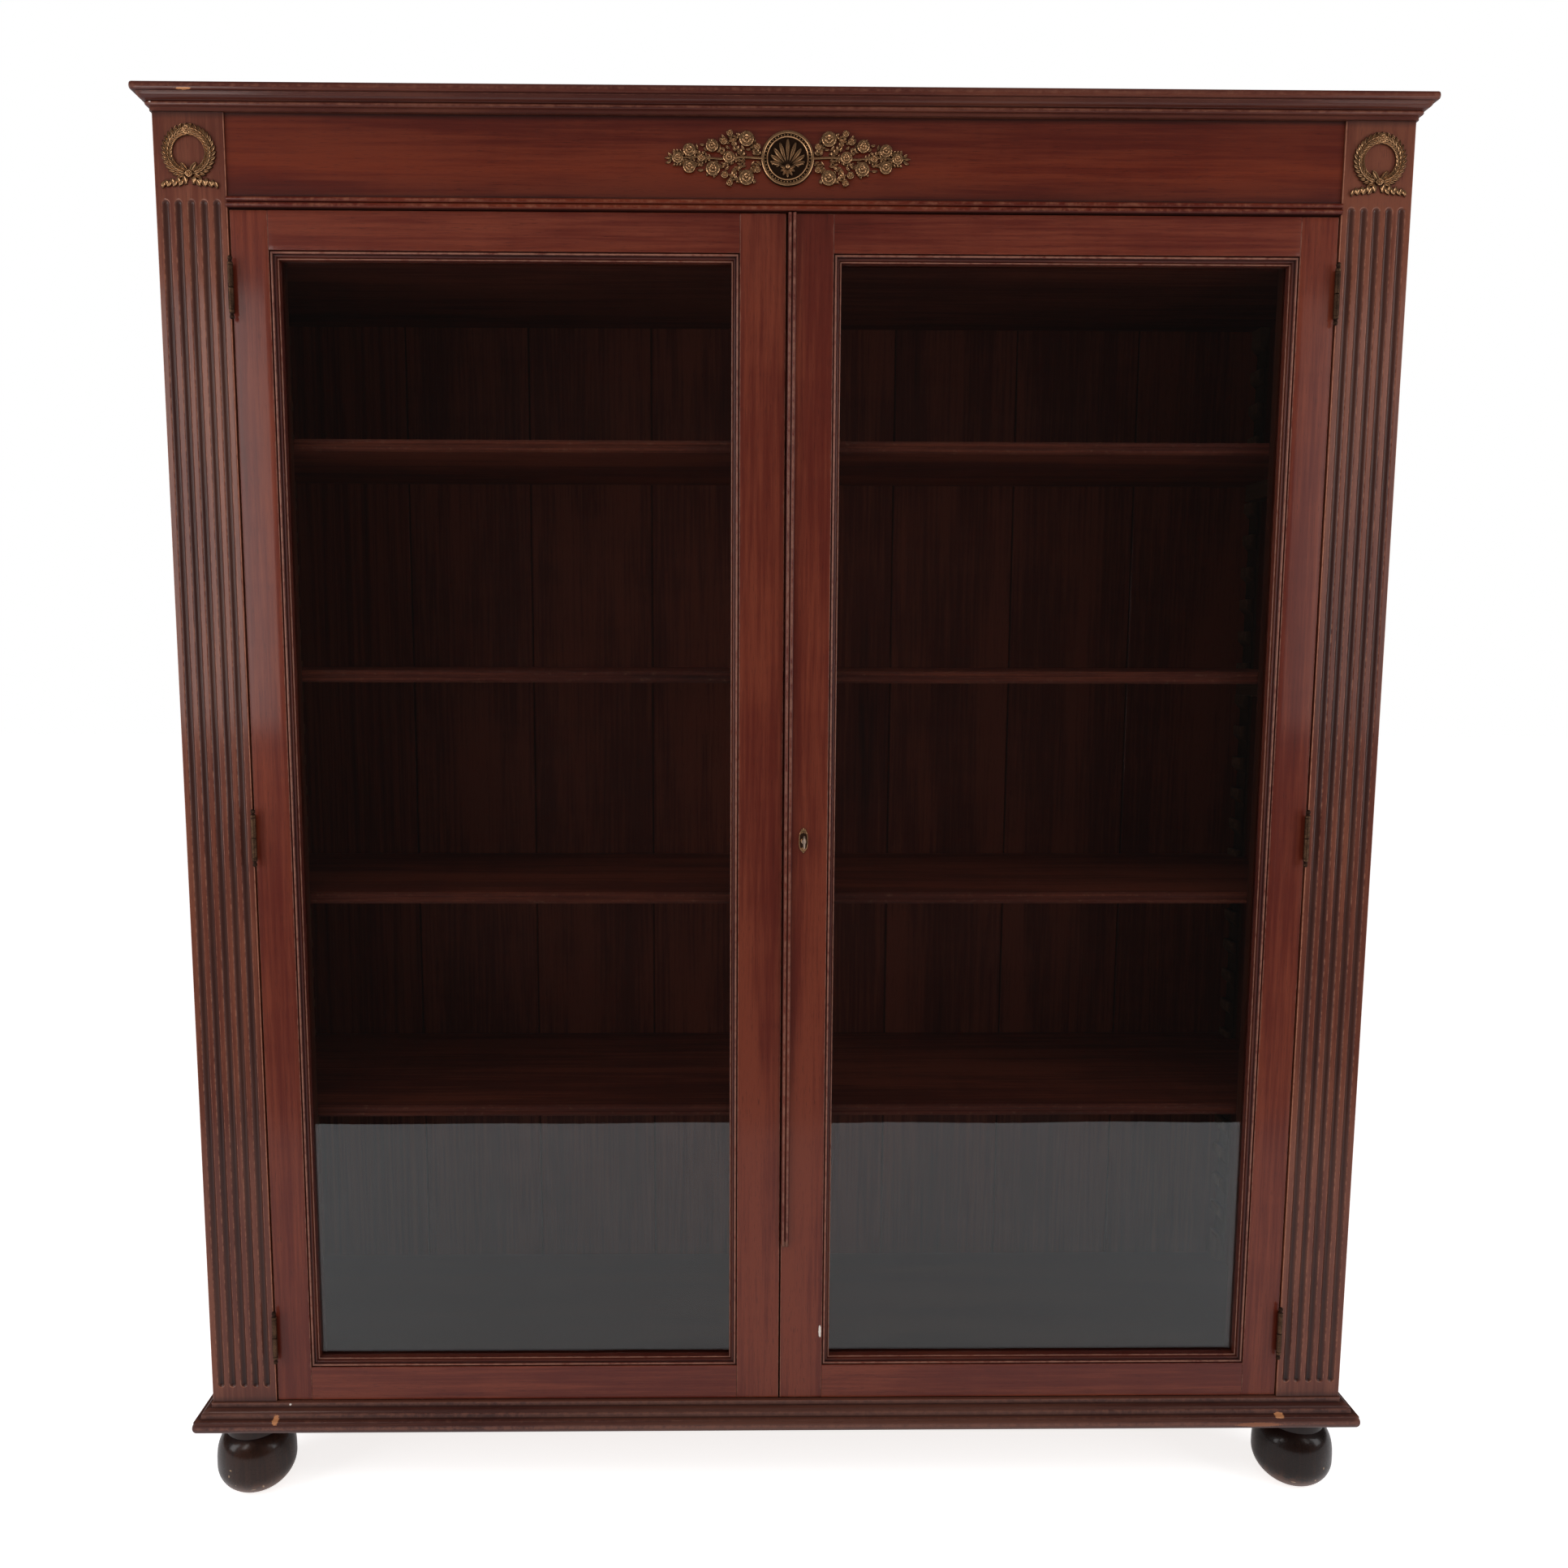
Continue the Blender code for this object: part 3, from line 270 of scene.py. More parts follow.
# %% [markdown]
# ## Wood finish
# French-polished mahogany has three scales of detail: slow bands of light and dark that
# run with the grain, fine streaks between them, and short dark pores. Handling and painted
# light add two more: arrises turn a lighter brown, partly where polish rubs through and
# partly as a painted highlight, and inner corners turn darker, partly wax and dust and
# partly painted shade. All of it is one node group. It reads three attributes that the
# mesh code writes on every point: `grain`, whose first number runs along the board, an
# edge mask on outer edges (polish rubbing through, with a painted highlight) and a corner
# mask in inner corners (wax and dust, with painted shade). Any board can then have its
# own grain direction with the same material.

# %% Wood node group
def calculate(tree, operation, first, *others, clamp=False):
    """One math node and its value."""
    inputs = dict(enumerate((first, *others)))
    return add_node(tree, "Math", inputs, operation=operation, use_clamp=clamp).outputs[0]


def add_part(tree, total, value, weight):
    """The total plus a value times its weight."""
    return calculate(tree, "ADD", total, calculate(tree, "MULTIPLY", value, weight))


def blend_colour(tree, share, first, second):
    """Mix two colours by a share from 0 to 1."""
    return add_node(tree, "Mix", {0: share, 6: first, 7: second}, data_type="RGBA").outputs[2]


def soft_step(tree, value, low, high):
    """0 below low, 1 above high, and a smooth climb between them."""
    return add_node(
        tree, "MapRange", {"Value": value, "From Min": low, "From Max": high},
        interpolation_type="SMOOTHSTEP",
    ).outputs[0]


def stretched_noise(tree, vector, stretch, detail=3.0, roughness=0.55):
    """Noise on a vector that is first scaled by its own factor along each axis."""
    scaled = add_node(tree, "Mapping", {"Vector": vector, "Scale": stretch})
    return add_node(
        tree, "TexNoise",
        {"Vector": scaled.outputs[0], "Scale": 1.0, "Detail": detail, "Roughness": roughness},
    ).outputs[0]


def new_group(name, inputs, outputs):
    """A node group with named inputs (name, kind, value) and outputs (name, kind)."""
    tree = bpy.data.node_groups.new(name, "ShaderNodeTree")
    for label, kind, value in inputs:
        socket = tree.interface.new_socket(label, in_out="INPUT", socket_type="NodeSocket" + kind)
        socket.default_value = value
    for label, kind in outputs:
        tree.interface.new_socket(label, in_out="OUTPUT", socket_type="NodeSocket" + kind)
    return tree, tree.nodes.new("NodeGroupInput").outputs, tree.nodes.new("NodeGroupOutput")


def attribute(tree, name, output="Fac"):
    """What the mesh says at each point."""
    return add_node(tree, "Attribute", attribute_name=name).outputs[output]


def build_wood_group():
    """Bands, streaks, pores, lighter edges (polish rubbing through, with a painted highlight) and darker
    corners (grime with painted shade) as colour, roughness, height.
    """
    tree, given, out = new_group(
        "polished_wood",
        [
            ("Dark", "Color", (0.05, 0.01, 0.005, 1.0)),
            ("Middle", "Color", (0.12, 0.03, 0.01, 1.0)),
            ("Light", "Color", (0.2, 0.06, 0.03, 1.0)),
            ("Worn_and_Lit", "Color", (0.3, 0.13, 0.06, 1.0)),
            ("Wear", "Float", 0.5), ("Soil", "Float", 0.8), ("Roughness", "Float", 0.3),
        ],
        [("Color", "Color"), ("Roughness", "Float"), ("Height", "Float")],
    )
    grain = attribute(tree, "grain", "Vector")
    wear = attribute(tree, "wear")
    soil = attribute(tree, "soil")
    bands = stretched_noise(tree, grain, (1.6, 16.0, 16.0), 3.0)
    cloud = stretched_noise(tree, grain, (3.0, 5.0, 5.0), 2.0)
    streaks = stretched_noise(tree, grain, (7.0, 230.0, 230.0), 4.0, 0.6)
    ribbon = stretched_noise(tree, grain, (26.0, 7.0, 7.0), 2.0)
    pores = stretched_noise(tree, grain, (70.0, 1500.0, 1500.0), 1.0)
    mottle = stretched_noise(tree, grain, (120.0, 120.0, 120.0), 4.0, 0.65)
    level = calculate(tree, "MULTIPLY_ADD", bands, 0.85, -0.27)
    for noise, weight in ((cloud, 0.35), (streaks, 0.55), (ribbon, 0.12)):
        level = add_part(tree, level, noise, weight)
    shallow = soft_step(tree, level, 0.30, 0.56)
    deep = soft_step(tree, level, 0.54, 0.82)
    colour = blend_colour(tree, shallow, given["Dark"], given["Middle"])
    colour = blend_colour(tree, deep, colour, given["Light"])
    pore = soft_step(tree, pores, 0.62, 0.70)
    colour = blend_colour(tree, calculate(tree, "MULTIPLY", pore, 0.45), colour, given["Dark"])
    # Edges turn towards the fourth colour: polish rubbing through and a painted highlight together.
    rough_edge = calculate(tree, "MULTIPLY_ADD", mottle, 1.5, -0.75)
    rubbed_and_lit = add_part(tree, rough_edge, wear, given["Wear"])
    rubbed_and_lit = calculate(tree, "MULTIPLY", soft_step(tree, rubbed_and_lit, 0.25, 0.75), wear)
    colour = blend_colour(tree, rubbed_and_lit, colour, given["Worn_and_Lit"])
    # Corners and hollows turn towards near black: wax, dust and painted shade together.
    dirt_and_shade = calculate(tree, "MULTIPLY", soil, given["Soil"], clamp=True)
    colour = blend_colour(tree, dirt_and_shade, colour, (0.014, 0.004, 0.003, 1.0))
    dull = given["Roughness"]
    for cause, weight in ((mottle, 0.12), (rubbed_and_lit, 0.12), (dirt_and_shade, 0.25)):
        dull = add_part(tree, dull, cause, weight)
    height = calculate(tree, "SUBTRACT", calculate(tree, "MULTIPLY", streaks, 0.5), pore)
    fill_inputs(out, {"Color": colour, "Roughness": dull, "Height": height})
    return tree


wood_group = build_wood_group()


def build_spot_group():
    """A ragged spot round a point: 1 inside, 0 outside, as where polish has chipped off."""
    tree, given, out = new_group(
        "chipped_spot",
        [("Centre", "Vector", (0.0, 0.0, 0.0)), ("Size", "Vector", (0.004, 0.004, 0.004))],
        [("Mask", "Float")],
    )
    place = add_node(tree, "TexCoord").outputs["Object"]
    off = add_node(tree, "VectorMath", {0: place, 1: given["Centre"]}, operation="SUBTRACT")
    share = add_node(tree, "VectorMath", {0: off.outputs[0], 1: given["Size"]}, operation="DIVIDE")
    far = add_node(tree, "VectorMath", {0: share.outputs[0]}, operation="LENGTH").outputs["Value"]
    far = add_part(tree, far, stretched_noise(tree, place, (420.0, 420.0, 420.0), 3.0), 1.1)
    fill_inputs(out, {"Mask": soft_step(tree, calculate(tree, "SUBTRACT", 1.62, far), 0.0, 0.22)})
    return tree


spot_group = build_spot_group()


def dress(shader, colour, figure, strength):
    """Give a shader its colour, roughness and relief from a finish group."""
    relief = add_node(shader.id_data, "Bump", {
        "Height": figure.outputs["Height"], "Strength": strength, "Distance": 0.0002,
    })
    fill_inputs(shader, {
        "Base Color": colour, "Roughness": figure.outputs["Roughness"], "Normal": relief.outputs[0],
    })


def wood(name, dark, middle, light, worn_and_lit, wear, soil, roughness, coat=0.35, spots=()):
    """A wood finish: three colours of figure, the colour of edges where polish rubs through and a painted
    highlight lies, and any chipped spots.
    """
    material, tree, shader = new_material(name)
    figure = add_node(tree, "Group", {
        "Dark": (*dark, 1.0), "Middle": (*middle, 1.0), "Light": (*light, 1.0), "Worn_and_Lit": (*worn_and_lit, 1.0),
        "Wear": wear, "Soil": soil, "Roughness": roughness,
    }, node_tree=wood_group)
    colour = figure.outputs["Color"]
    for centre, size, paint in spots:
        spot = add_node(tree, "Group", {"Centre": centre, "Size": size}, node_tree=spot_group)
        colour = blend_colour(tree, spot.outputs["Mask"], colour, (*paint, 1.0))
    dress(shader, colour, figure, 0.22)
    fill_inputs(shader, {"Coat Weight": coat, "Coat Roughness": 0.12, "Specular IOR Level": 0.22})
    return material


BARE = (0.52, 0.22, 0.09)
PALE = (0.75, 0.66, 0.58)
# Each finish's fourth colour lightens the edges, for polish rubbing through and a painted highlight; the
# two numbers after it set how strongly edges are lightened and how strongly corners and hollows are
# darkened with grime and painted shade.
mahogany = {
    "frieze": wood("frieze_mahogany", (0.040, 0.004, 0.002), (0.090, 0.009, 0.003), (0.145, 0.021, 0.006),
                   (0.24, 0.08, 0.04), 0.6, 0.9, 0.30, coat=0.2),
    "door": wood("door_mahogany", (0.044, 0.006, 0.003), (0.100, 0.013, 0.006), (0.165, 0.031, 0.013),
                 (0.26, 0.11, 0.07), 0.7, 0.9, 0.32, coat=0.25,
                 spots=(((0.0536, 0, 0.2345), (0.0018, 1.0, 0.009), PALE),)),
    "post": wood("post_mahogany", (0.046, 0.009, 0.005), (0.108, 0.024, 0.012), (0.175, 0.050, 0.025),
                 (0.42, 0.17, 0.10), 0.8, 1.0, 0.32, coat=0.3),
    "crown": wood("crown_mahogany", (0.042, 0.009, 0.006), (0.082, 0.017, 0.010), (0.130, 0.034, 0.018),
                  (0.170, 0.055, 0.030), 0.6, 0.55, 0.32, coat=0.3,
                  spots=(((-0.7490, -0.19, 1.7689), (0.0014, 0.02, 0.0012), PALE),
                         ((-0.7045, -0.19, 1.7792), (0.010, 0.02, 0.0010), BARE))),
    "base": wood("base_mahogany", (0.032, 0.009, 0.006), (0.064, 0.018, 0.012), (0.105, 0.036, 0.022),
                 (0.165, 0.058, 0.035), 0.7, 0.75, 0.34, coat=0.3,
                 spots=(((-0.6627, -0.195, 0.1245), (0.0042, 0.02, 0.0050), BARE),
                        ((-0.6473, -0.183, 0.1370), (0.0016, 0.02, 0.0016), PALE),
                        ((0.6636, -0.193, 0.1238), (0.0060, 0.02, 0.0022), BARE),
                        ((0.6341, -0.195, 0.1138), (0.0300, 0.02, 0.0030), (0.26, 0.09, 0.04)))),
}
inside_wood = wood("inside_mahogany", (0.065, 0.011, 0.007), (0.185, 0.033, 0.018), (0.360, 0.080, 0.040),
                   (0.60, 0.28, 0.17), 0.5, 0.85, 0.50, coat=0.05)
rack_wood = wood("rack_wood", (0.085, 0.036, 0.020), (0.140, 0.062, 0.034), (0.20, 0.095, 0.052),
                 (0.28, 0.15, 0.09), 0.6, 0.9, 0.60, coat=0.0)
foot_chips = [                # place and size, across and up
    (-0.728, 0.047, 0.0016, 0.0010), (-0.731, 0.038, 0.0009, 0.0020), (-0.700, 0.017, 0.0030, 0.0008),
    (-0.688, 0.020, 0.0010, 0.0024), (-0.722, 0.026, 0.0008, 0.0008), (0.694, 0.019, 0.0032, 0.0009),
    (0.722, 0.024, 0.0012, 0.0014), (0.733, 0.040, 0.0008, 0.0018),
]
foot_wood = wood("foot_wood", (0.006, 0.003, 0.002), (0.014, 0.006, 0.004), (0.036, 0.014, 0.008),
                 (0.15, 0.055, 0.026), 1.2, 0.9, 0.22, coat=0.22,
                 spots=[((x, -0.175, z), (wide, 0.03, tall), (0.42, 0.27, 0.16))
                        for x, z, wide, tall in foot_chips])
print("wood finishes:", len(mahogany) + 3)

# %% [markdown]
# ## How a piece is made
# Every surface here is a sheet of points laid out in rows and columns, with quads between
# neighbours. A board is a rounded rectangle pushed along its length; a moulding is a
# profile carried round a rectangle and mitred; a turned part is a profile spun round an
# axis. The same arrays carry the three finish attributes, so the lighter edge, polish
# rubbing through with a painted highlight, lies exactly where the arris is round, and the
# darker corner, grime with painted shade, lies in the hollows.

# %% Sheets, joining and finished pieces
piece_count = 0
triangle_total = 0


def grid_faces(rows, columns, close_rows=False, close_columns=False):
    """Quads between neighbouring points of a rows-by-columns sheet."""
    index = np.arange(rows * columns).reshape(rows, columns)
    if close_rows:
        index = np.vstack([index, index[:1]])
    if close_columns:
        index = np.hstack([index, index[:, :1]])
    quads = [index[:-1, :-1], index[:-1, 1:], index[1:, 1:], index[1:, :-1]]
    return np.stack(quads, -1).reshape(-1, 4)


def sheet(points, faces, wear=0.0, soil=0.0, along=0, shift=0.0):
    """Points and faces with their edge lightening (polish rubbing through, with a painted highlight),
    corner darkening (grime with painted shade) and grain; along is the axis the grain follows.
    """
    points = np.asarray(points, float).reshape(-1, 3)
    order = [along] + [axis for axis in range(3) if axis != along]
    count = len(points)
    return {
        "points": points, "faces": [np.asarray(block) for block in faces],
        "wear": np.broadcast_to(np.asarray(wear, float).ravel(), count).copy(),
        "soil": np.broadcast_to(np.asarray(soil, float).ravel(), count).copy(),
        "grain": points[:, order] + np.array([3.1, 5.7, 2.3]) * shift,
    }


def joined(*sheets):
    """Several sheets as one."""
    starts = np.cumsum([0] + [len(part["points"]) for part in sheets])
    fields = ("points", "wear", "soil", "grain")
    whole = {key: np.concatenate([part[key] for part in sheets]) for key in fields}
    whole["faces"] = [
        block + start for part, start in zip(sheets, starts) for block in part["faces"]
    ]
    return whole


def mirrored(part):
    """The same sheet on the other side of the case's middle."""
    points = part["points"] * (-1.0, 1.0, 1.0)
    return {**part, "points": points, "grain": part["grain"] + (11.0, 4.0, 9.0)}


def closed_mesh(name, part):
    """A mesh from a sheet, with its fields, doubled points merged and faces turned outwards."""
    mesh = bpy.data.meshes.new(name)
    faces = [face for block in part["faces"] for face in block.tolist()]
    mesh.from_pydata(part["points"].tolist(), [], faces)
    for label in ("wear", "soil"):
        values = mesh.attributes.new(label, "FLOAT", "POINT")
        values.data.foreach_set("value", part[label].astype(np.float32))
    values = mesh.attributes.new("grain", "FLOAT_VECTOR", "POINT")
    values.data.foreach_set("vector", part["grain"].astype(np.float32).ravel())
    solid = bmesh.new()
    solid.from_mesh(mesh)
    bmesh.ops.remove_doubles(solid, verts=solid.verts, dist=1e-7)
    bmesh.ops.recalc_face_normals(solid, faces=solid.faces)
    solid.to_mesh(mesh)
    solid.free()
    return mesh


def hollowed(name, mesh, hollows):
    """The mesh with closed shapes cut out of it, such as a bolt's bore."""
    body = placed(name + "_solid", mesh)
    tools = [placed(f"{name}_tool", closed_mesh("tool", hollow)) for hollow in hollows]
    for tool in tools:
        cut = body.modifiers.new("cut", "BOOLEAN")
        cut.operation = "DIFFERENCE"
        cut.solver = "EXACT"
        cut.object = tool
    bpy.context.view_layer.update()
    shown = body.evaluated_get(bpy.context.evaluated_depsgraph_get())
    done = bpy.data.meshes.new_from_object(shown)
    for spent in [body] + tools:
        bpy.data.objects.remove(spent)
    return done


def make_piece(name, part, node, material, sharp=38.0, hollows=()):
    """Turn a sheet into an object that replaces a node, and hand it to the node's body."""
    global piece_count, triangle_total
    mesh = closed_mesh(name, part)
    if hollows:
        mesh = hollowed(name, mesh, hollows)
    triangle_total += sum(len(face.vertices) - 2 for face in mesh.polygons)
    mesh.shade_smooth()
    mesh.set_sharp_from_angle(angle=math.radians(sharp))
    mesh.materials.clear()
    mesh.materials.append(material)
    piece = placed(name, mesh)
    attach(piece, body_of_node[node])
    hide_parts(node)
    piece_count += 1


def board(low, high, along, ease=0.0012, wear=1.0, soil=0.0, shift=0.0):
    """A plank: a rectangle with rounded arrises, pushed along its length, with eased ends."""
    low, high = np.minimum(low, high), np.maximum(low, high)
    side = [axis for axis in range(3) if axis != along]
    half = (high - low) / 2
    ease = min(ease, 0.45 * half.min())
    step = np.linspace(0, np.pi / 2, 5)
    angle = step + np.arange(4)[:, None] * np.pi / 2
    signs = np.array([(1, 1), (-1, 1), (-1, -1), (1, -1)])
    circle = np.stack([np.cos(angle), np.sin(angle)], -1)
    arc = (signs * (half[side] - ease))[:, None] + ease * circle
    run = np.minimum(0.006, (half[side] - ease) * 0.6)
    before = arc[:, 0] - np.array([(0, 1), (-1, 0), (0, -1), (1, 0)]) * run
    after = arc[:, -1] + np.array([(-1, 0), (0, -1), (1, 0), (0, 1)]) * run
    outline = np.concatenate([before[:, None], arc, after[:, None]], 1).reshape(-1, 2)
    # The rounded arrises are lightened most along their middle, polish rubbing through and a painted
    # highlight line together; the arrises at the ends likewise.
    rub = 0.3 + 0.7 * np.sin(2 * step)
    edge = np.tile(np.concatenate([[0], rub, [0]]), 4)
    length = half[along]
    ends = np.concatenate([ease * (1 - np.cos(step)), [min(0.006, length * 0.5)]])
    inset = np.concatenate([ease * (1 - np.sin(step)), [0]])
    place = np.concatenate([-length + ends, length - ends[::-1]])
    shrink = np.concatenate([inset, inset[::-1]])
    end_wear = np.concatenate([rub, [0, 0], rub[::-1]])
    scale = 1 - shrink[:, None] / half[side]
    points = np.zeros((len(place), len(outline), 3))
    points[..., side] = outline * scale[:, None]
    points[..., along] = place[:, None]
    points += (low + high) / 2
    return loft(points, wear * np.maximum(edge[None], end_wear[:, None]), soil, along, shift)


def node_board(node, along, ease=0.0012, wear=1.0, soil=0.0, shift=0.0):
    """A plank that fills its node's box."""
    return board(*corners(node), along, ease, wear, soil, shift)


def loft(rings, wear=0.0, soil=0.0, along=0, shift=0.0):
    """Rings of equal length joined one to the next, with flat ends."""
    count = rings.shape[1]
    first = np.arange(count)[None]
    faces = [grid_faces(len(rings), count, close_columns=True), first, first + (len(rings) - 1) * count]
    wear, soil = (np.broadcast_to(value, rings.shape[:2]) for value in (wear, soil))
    return sheet(rings, faces, wear, soil, along, shift)


def pushed(section, stations, axis):
    """Rings for a flat section that stands, unchanged, at places along an axis."""
    rings = np.zeros((len(stations), len(section), 3))
    rings[..., axis] = np.asarray(stations)[:, None]
    rings[..., [other for other in range(3) if other != axis]] = section
    return rings


def lathe(profile, centre, axis=2, segments=48, wear=0.0, soil=0.0, shift=0.0):
    """A profile of (radius, place) spun round an axis through a point; both ends are poles."""
    profile = np.asarray(profile, float)
    angle = np.linspace(0, 2 * np.pi, segments, endpoint=False)
    across = [direction for direction in range(3) if direction != axis]
    points = np.zeros((len(profile), segments, 3))
    points[..., across[0]] = profile[:, :1] * np.cos(angle)
    points[..., across[1]] = profile[:, :1] * np.sin(angle)
    points[..., axis] = profile[:, 1:]
    points += np.asarray(centre, float)
    wear, soil = (
        np.broadcast_to(np.reshape(value, (-1, 1)), points.shape[:2]) for value in (wear, soil)
    )
    faces = [grid_faces(len(profile), segments, close_columns=True)]
    return sheet(points, faces, wear, soil, axis, shift)


BORE_GAP = 0.0003            # room round a bolt in its bore


def round_bore(node, low_z, high_z):
    """A bore round an upright bolt, between two heights."""
    low, high = corners(node)
    radius = (high[0] - low[0]) / 2 + BORE_GAP
    middle = (low + high) / 2
    wall = np.array([(0, low_z), (radius, low_z), (radius, high_z), (0, high_z)])
    # The bore's wall is darkened all over: painted shade inside the hole.
    return lathe(wall, (middle[0], middle[1], 0.0), segments=24, soil=1.0)


def bolt_pocket(left, right):
    """A pocket as high and deep as the lock's bolt, between two places along X."""
    low, high = corners("lock_bolt")
    room = np.array([0.0, BORE_GAP, BORE_GAP])
    low, high = low - room, high + room
    # The pocket's walls are darkened all over: painted shade inside the pocket.
    return board((left, low[1], low[2]), (right, high[1], high[2]), 0, 0.0001, 0.0, 1.0)


def eased_path(points, steps=10):
    """A smooth curve through given points (Catmull-Rom: each bend follows its neighbours)."""
    points = np.asarray(points, float)
    padded = np.vstack([2 * points[0] - points[1], points, 2 * points[-1] - points[-2]])
    share = np.linspace(0, 1, steps, endpoint=False)[None, :, None]
    first, second, third, fourth = (padded[k:len(padded) - 3 + k, None] for k in range(4))
    bend = 0.5 * (
        2 * second + (third - first) * share
        + (2 * first - 5 * second + 4 * third - fourth) * share ** 2
        + (3 * second - first - 3 * third + fourth) * share ** 3
    )
    return np.vstack([bend.reshape(-1, points.shape[1]), points[-1:]])


test_board = board((0, 0, 0), (1, 0.1, 0.02), 0)
print("a plank has", len(test_board["points"]), "points, widest wear", test_board["wear"].max())

# %% [markdown]
# ## Crown and base
# Both are solid boards whose front and side edges are worked to a moulding, mitred at
# the corners. A stack of rectangles, each a little wider or narrower than the last,
# gives the profile; quarter curves are sampled finely and flats with two rings. The
# nose that hands and furniture touch, and the beads, are lightened along their rounds,
# partly polish rubbing through and partly a painted highlight line; the fillets below
# them are darkened, partly grime and partly painted shade.

# %% Crown and base mouldings
def rectangle_ring(half_width, front, back, radius=0.0026):
    """A rectangle with slightly rounded front corners, and how near each point is to a corner."""
    turn = np.linspace(0, np.pi / 2, 5)
    left = np.array([-half_width, front]) + radius * (1 - np.stack([np.cos(turn), np.sin(turn)], 1))
    right = left[::-1] * (-1, 1)
    along_front = np.linspace(left[-1, 0] + 0.008, right[0, 0] - 0.008, 60)
    middle = np.stack([along_front, np.full(60, front)], 1)
    along_side = np.linspace(back, front + 0.010, 16)
    left_side = np.stack([np.full(16, -half_width), along_side], 1)
    right_side = (left_side * (-1, 1))[::-1]
    ring = np.vstack([left_side, left, middle, right, right_side])
    near = np.concatenate([np.zeros(16), np.ones(5), np.zeros(60), np.ones(5), np.zeros(16)])
    return ring, near


def moulded(steps, low, tall, nose, shift):
    """A moulded board: steps of (height, projection, edge lightening, corner darkening) round the case's
    outline; the lightening is polish rubbing through with a painted highlight, the darkening grime with
    painted shade.
    """
    steps = np.array(steps)
    out = nose * steps[:, 1]
    outlines, near = zip(*(rectangle_ring(CASE_HALF + far, POST_FACE - far, CASE_BACK) for far in out))
    heights = np.broadcast_to((low + tall * steps[:, 0])[:, None, None], (len(steps), len(near[0]), 1))
    rings = np.concatenate([np.stack(outlines), heights], -1)
    worn_and_lit = np.maximum(steps[:, 2, None], near[0][None] * 0.8)
    return loft(rings, worn_and_lit, steps[:, 3, None], 0, shift)


CASE_HALF = corners("side_right")[1][0]
CASE_BACK = corners("back_panel")[1][1]
SIDE_INNER = 0.7297          # the sides' inner faces, with their joint
STOP_INNER = 0.6117          # the door stops' inner edges
STOP_BACK = 0.0448           # the stops' back, behind the posts' face
crown_low, crown_high = corners("crown")
quarter = np.linspace(0, np.pi / 2, 7)
crown_steps = [(0.0, 0.12, 0.0, 0.5), (0.10, 0.12, 0.3, 0.0), (0.17, 0.12, 0.2, 0.7)]
crown_steps += [(0.28 - 0.10 * math.cos(a), 0.22 + 0.11 * math.sin(a), math.sin(a) ** 3, 0.0)
                for a in np.linspace(0, np.pi, 9)]
crown_steps += [(0.39, 0.30, 0.1, 1.0), (0.40, 0.34, 0.2, 0.6)]
crown_steps += [
    (0.41 + 0.21 * (1 - math.cos(a)), 0.35 + 0.37 * math.sin(a), 0.15, 0.35) for a in quarter
]
crown_steps += [(0.64, 0.75, 0.9, 0.0), (0.66, 0.76, 0.3, 0.9), (0.67, 0.86, 0.1, 0.9)]
crown_steps += [
    (0.84 - 0.16 * math.cos(a), 0.90 + 0.10 * math.sin(a) ** 0.7, 0.8 * math.sin(a) ** 4, 0.0)
    for a in np.linspace(0, np.pi, 13)
]
crown_tall = crown_high[2] - crown_low[2]
crown = moulded(crown_steps, crown_low[2], crown_tall, POST_FACE - crown_low[1], 1)
make_piece("crown_moulding", crown, "crown", mahogany["crown"])

base_low, base_high = corners("base_board")
MOULDING_TOP = corners("post_left")[0][2] - 0.0003
base_steps = [
    (0.43 * h, 0.86 + 0.14 * math.sin(math.pi * min(max(h, 0.02), 0.98)) ** 0.5,
     0.9 * math.sin(math.pi * h) ** 3, 0.0)
    for h in np.linspace(0, 1, 15)
]
base_steps += [(0.44 + 0.06 * math.sin(a), 0.78 + 0.16 * math.cos(a), 0.5, 0.1) for a in quarter]
base_steps += [(0.505, 0.62, 0.1, 1.0), (0.515, 0.60, 0.5, 0.3)]
base_steps += [(0.66, 0.56, 0.8, 0.0), (0.68, 0.52, 0.8, 0.0)]
base_steps += [(0.69 + 0.12 * math.sin(a), 0.22 + 0.28 * math.cos(a), 0.3, 0.2) for a in quarter]
base_steps += [(0.82, 0.12, 0.1, 1.0), (0.84, 0.10, 0.5, 0.4), (1.0, 0.10, 0.9, 0.0)]
floor_box = board(
    (-SIDE_INNER, POST_FACE + STOP_BACK, MOULDING_TOP - 0.002), (SIDE_INNER, 0.1812, base_high[2]),
    0, 0.0008, 0.3, 0.3, 4,
)
stop_lip = board(
    (-STOP_INNER, POST_FACE + 0.0268, MOULDING_TOP - 0.002),
    (STOP_INNER, POST_FACE + 0.0460, base_high[2] - 0.001), 0, 0.0010, 0.8, 0.2, 5,
)
base_mould = moulded(base_steps, base_low[2], MOULDING_TOP - base_low[2], POST_FACE - base_low[1], 2)
base = joined(base_mould, floor_box, stop_lip)
low_socket = round_bore("bottom_bolt", MOULDING_TOP - 0.0105, MOULDING_TOP + 0.001)
make_piece("base_moulding", base, "base_board", mahogany["base"], hollows=[low_socket])
print("crown rings:", len(crown_steps), "base rings:", len(base_steps))

# %% [markdown]
# ## Feet
# The feet are turned: a dowel that goes up into the base, a plain collar and a ball
# squashed at the shoulder. A lathe profile spun round the foot's axis is the same thing
# in numbers. Their near-black polish is glossy above and scuffed brown below, where
# brooms and shoes reach.

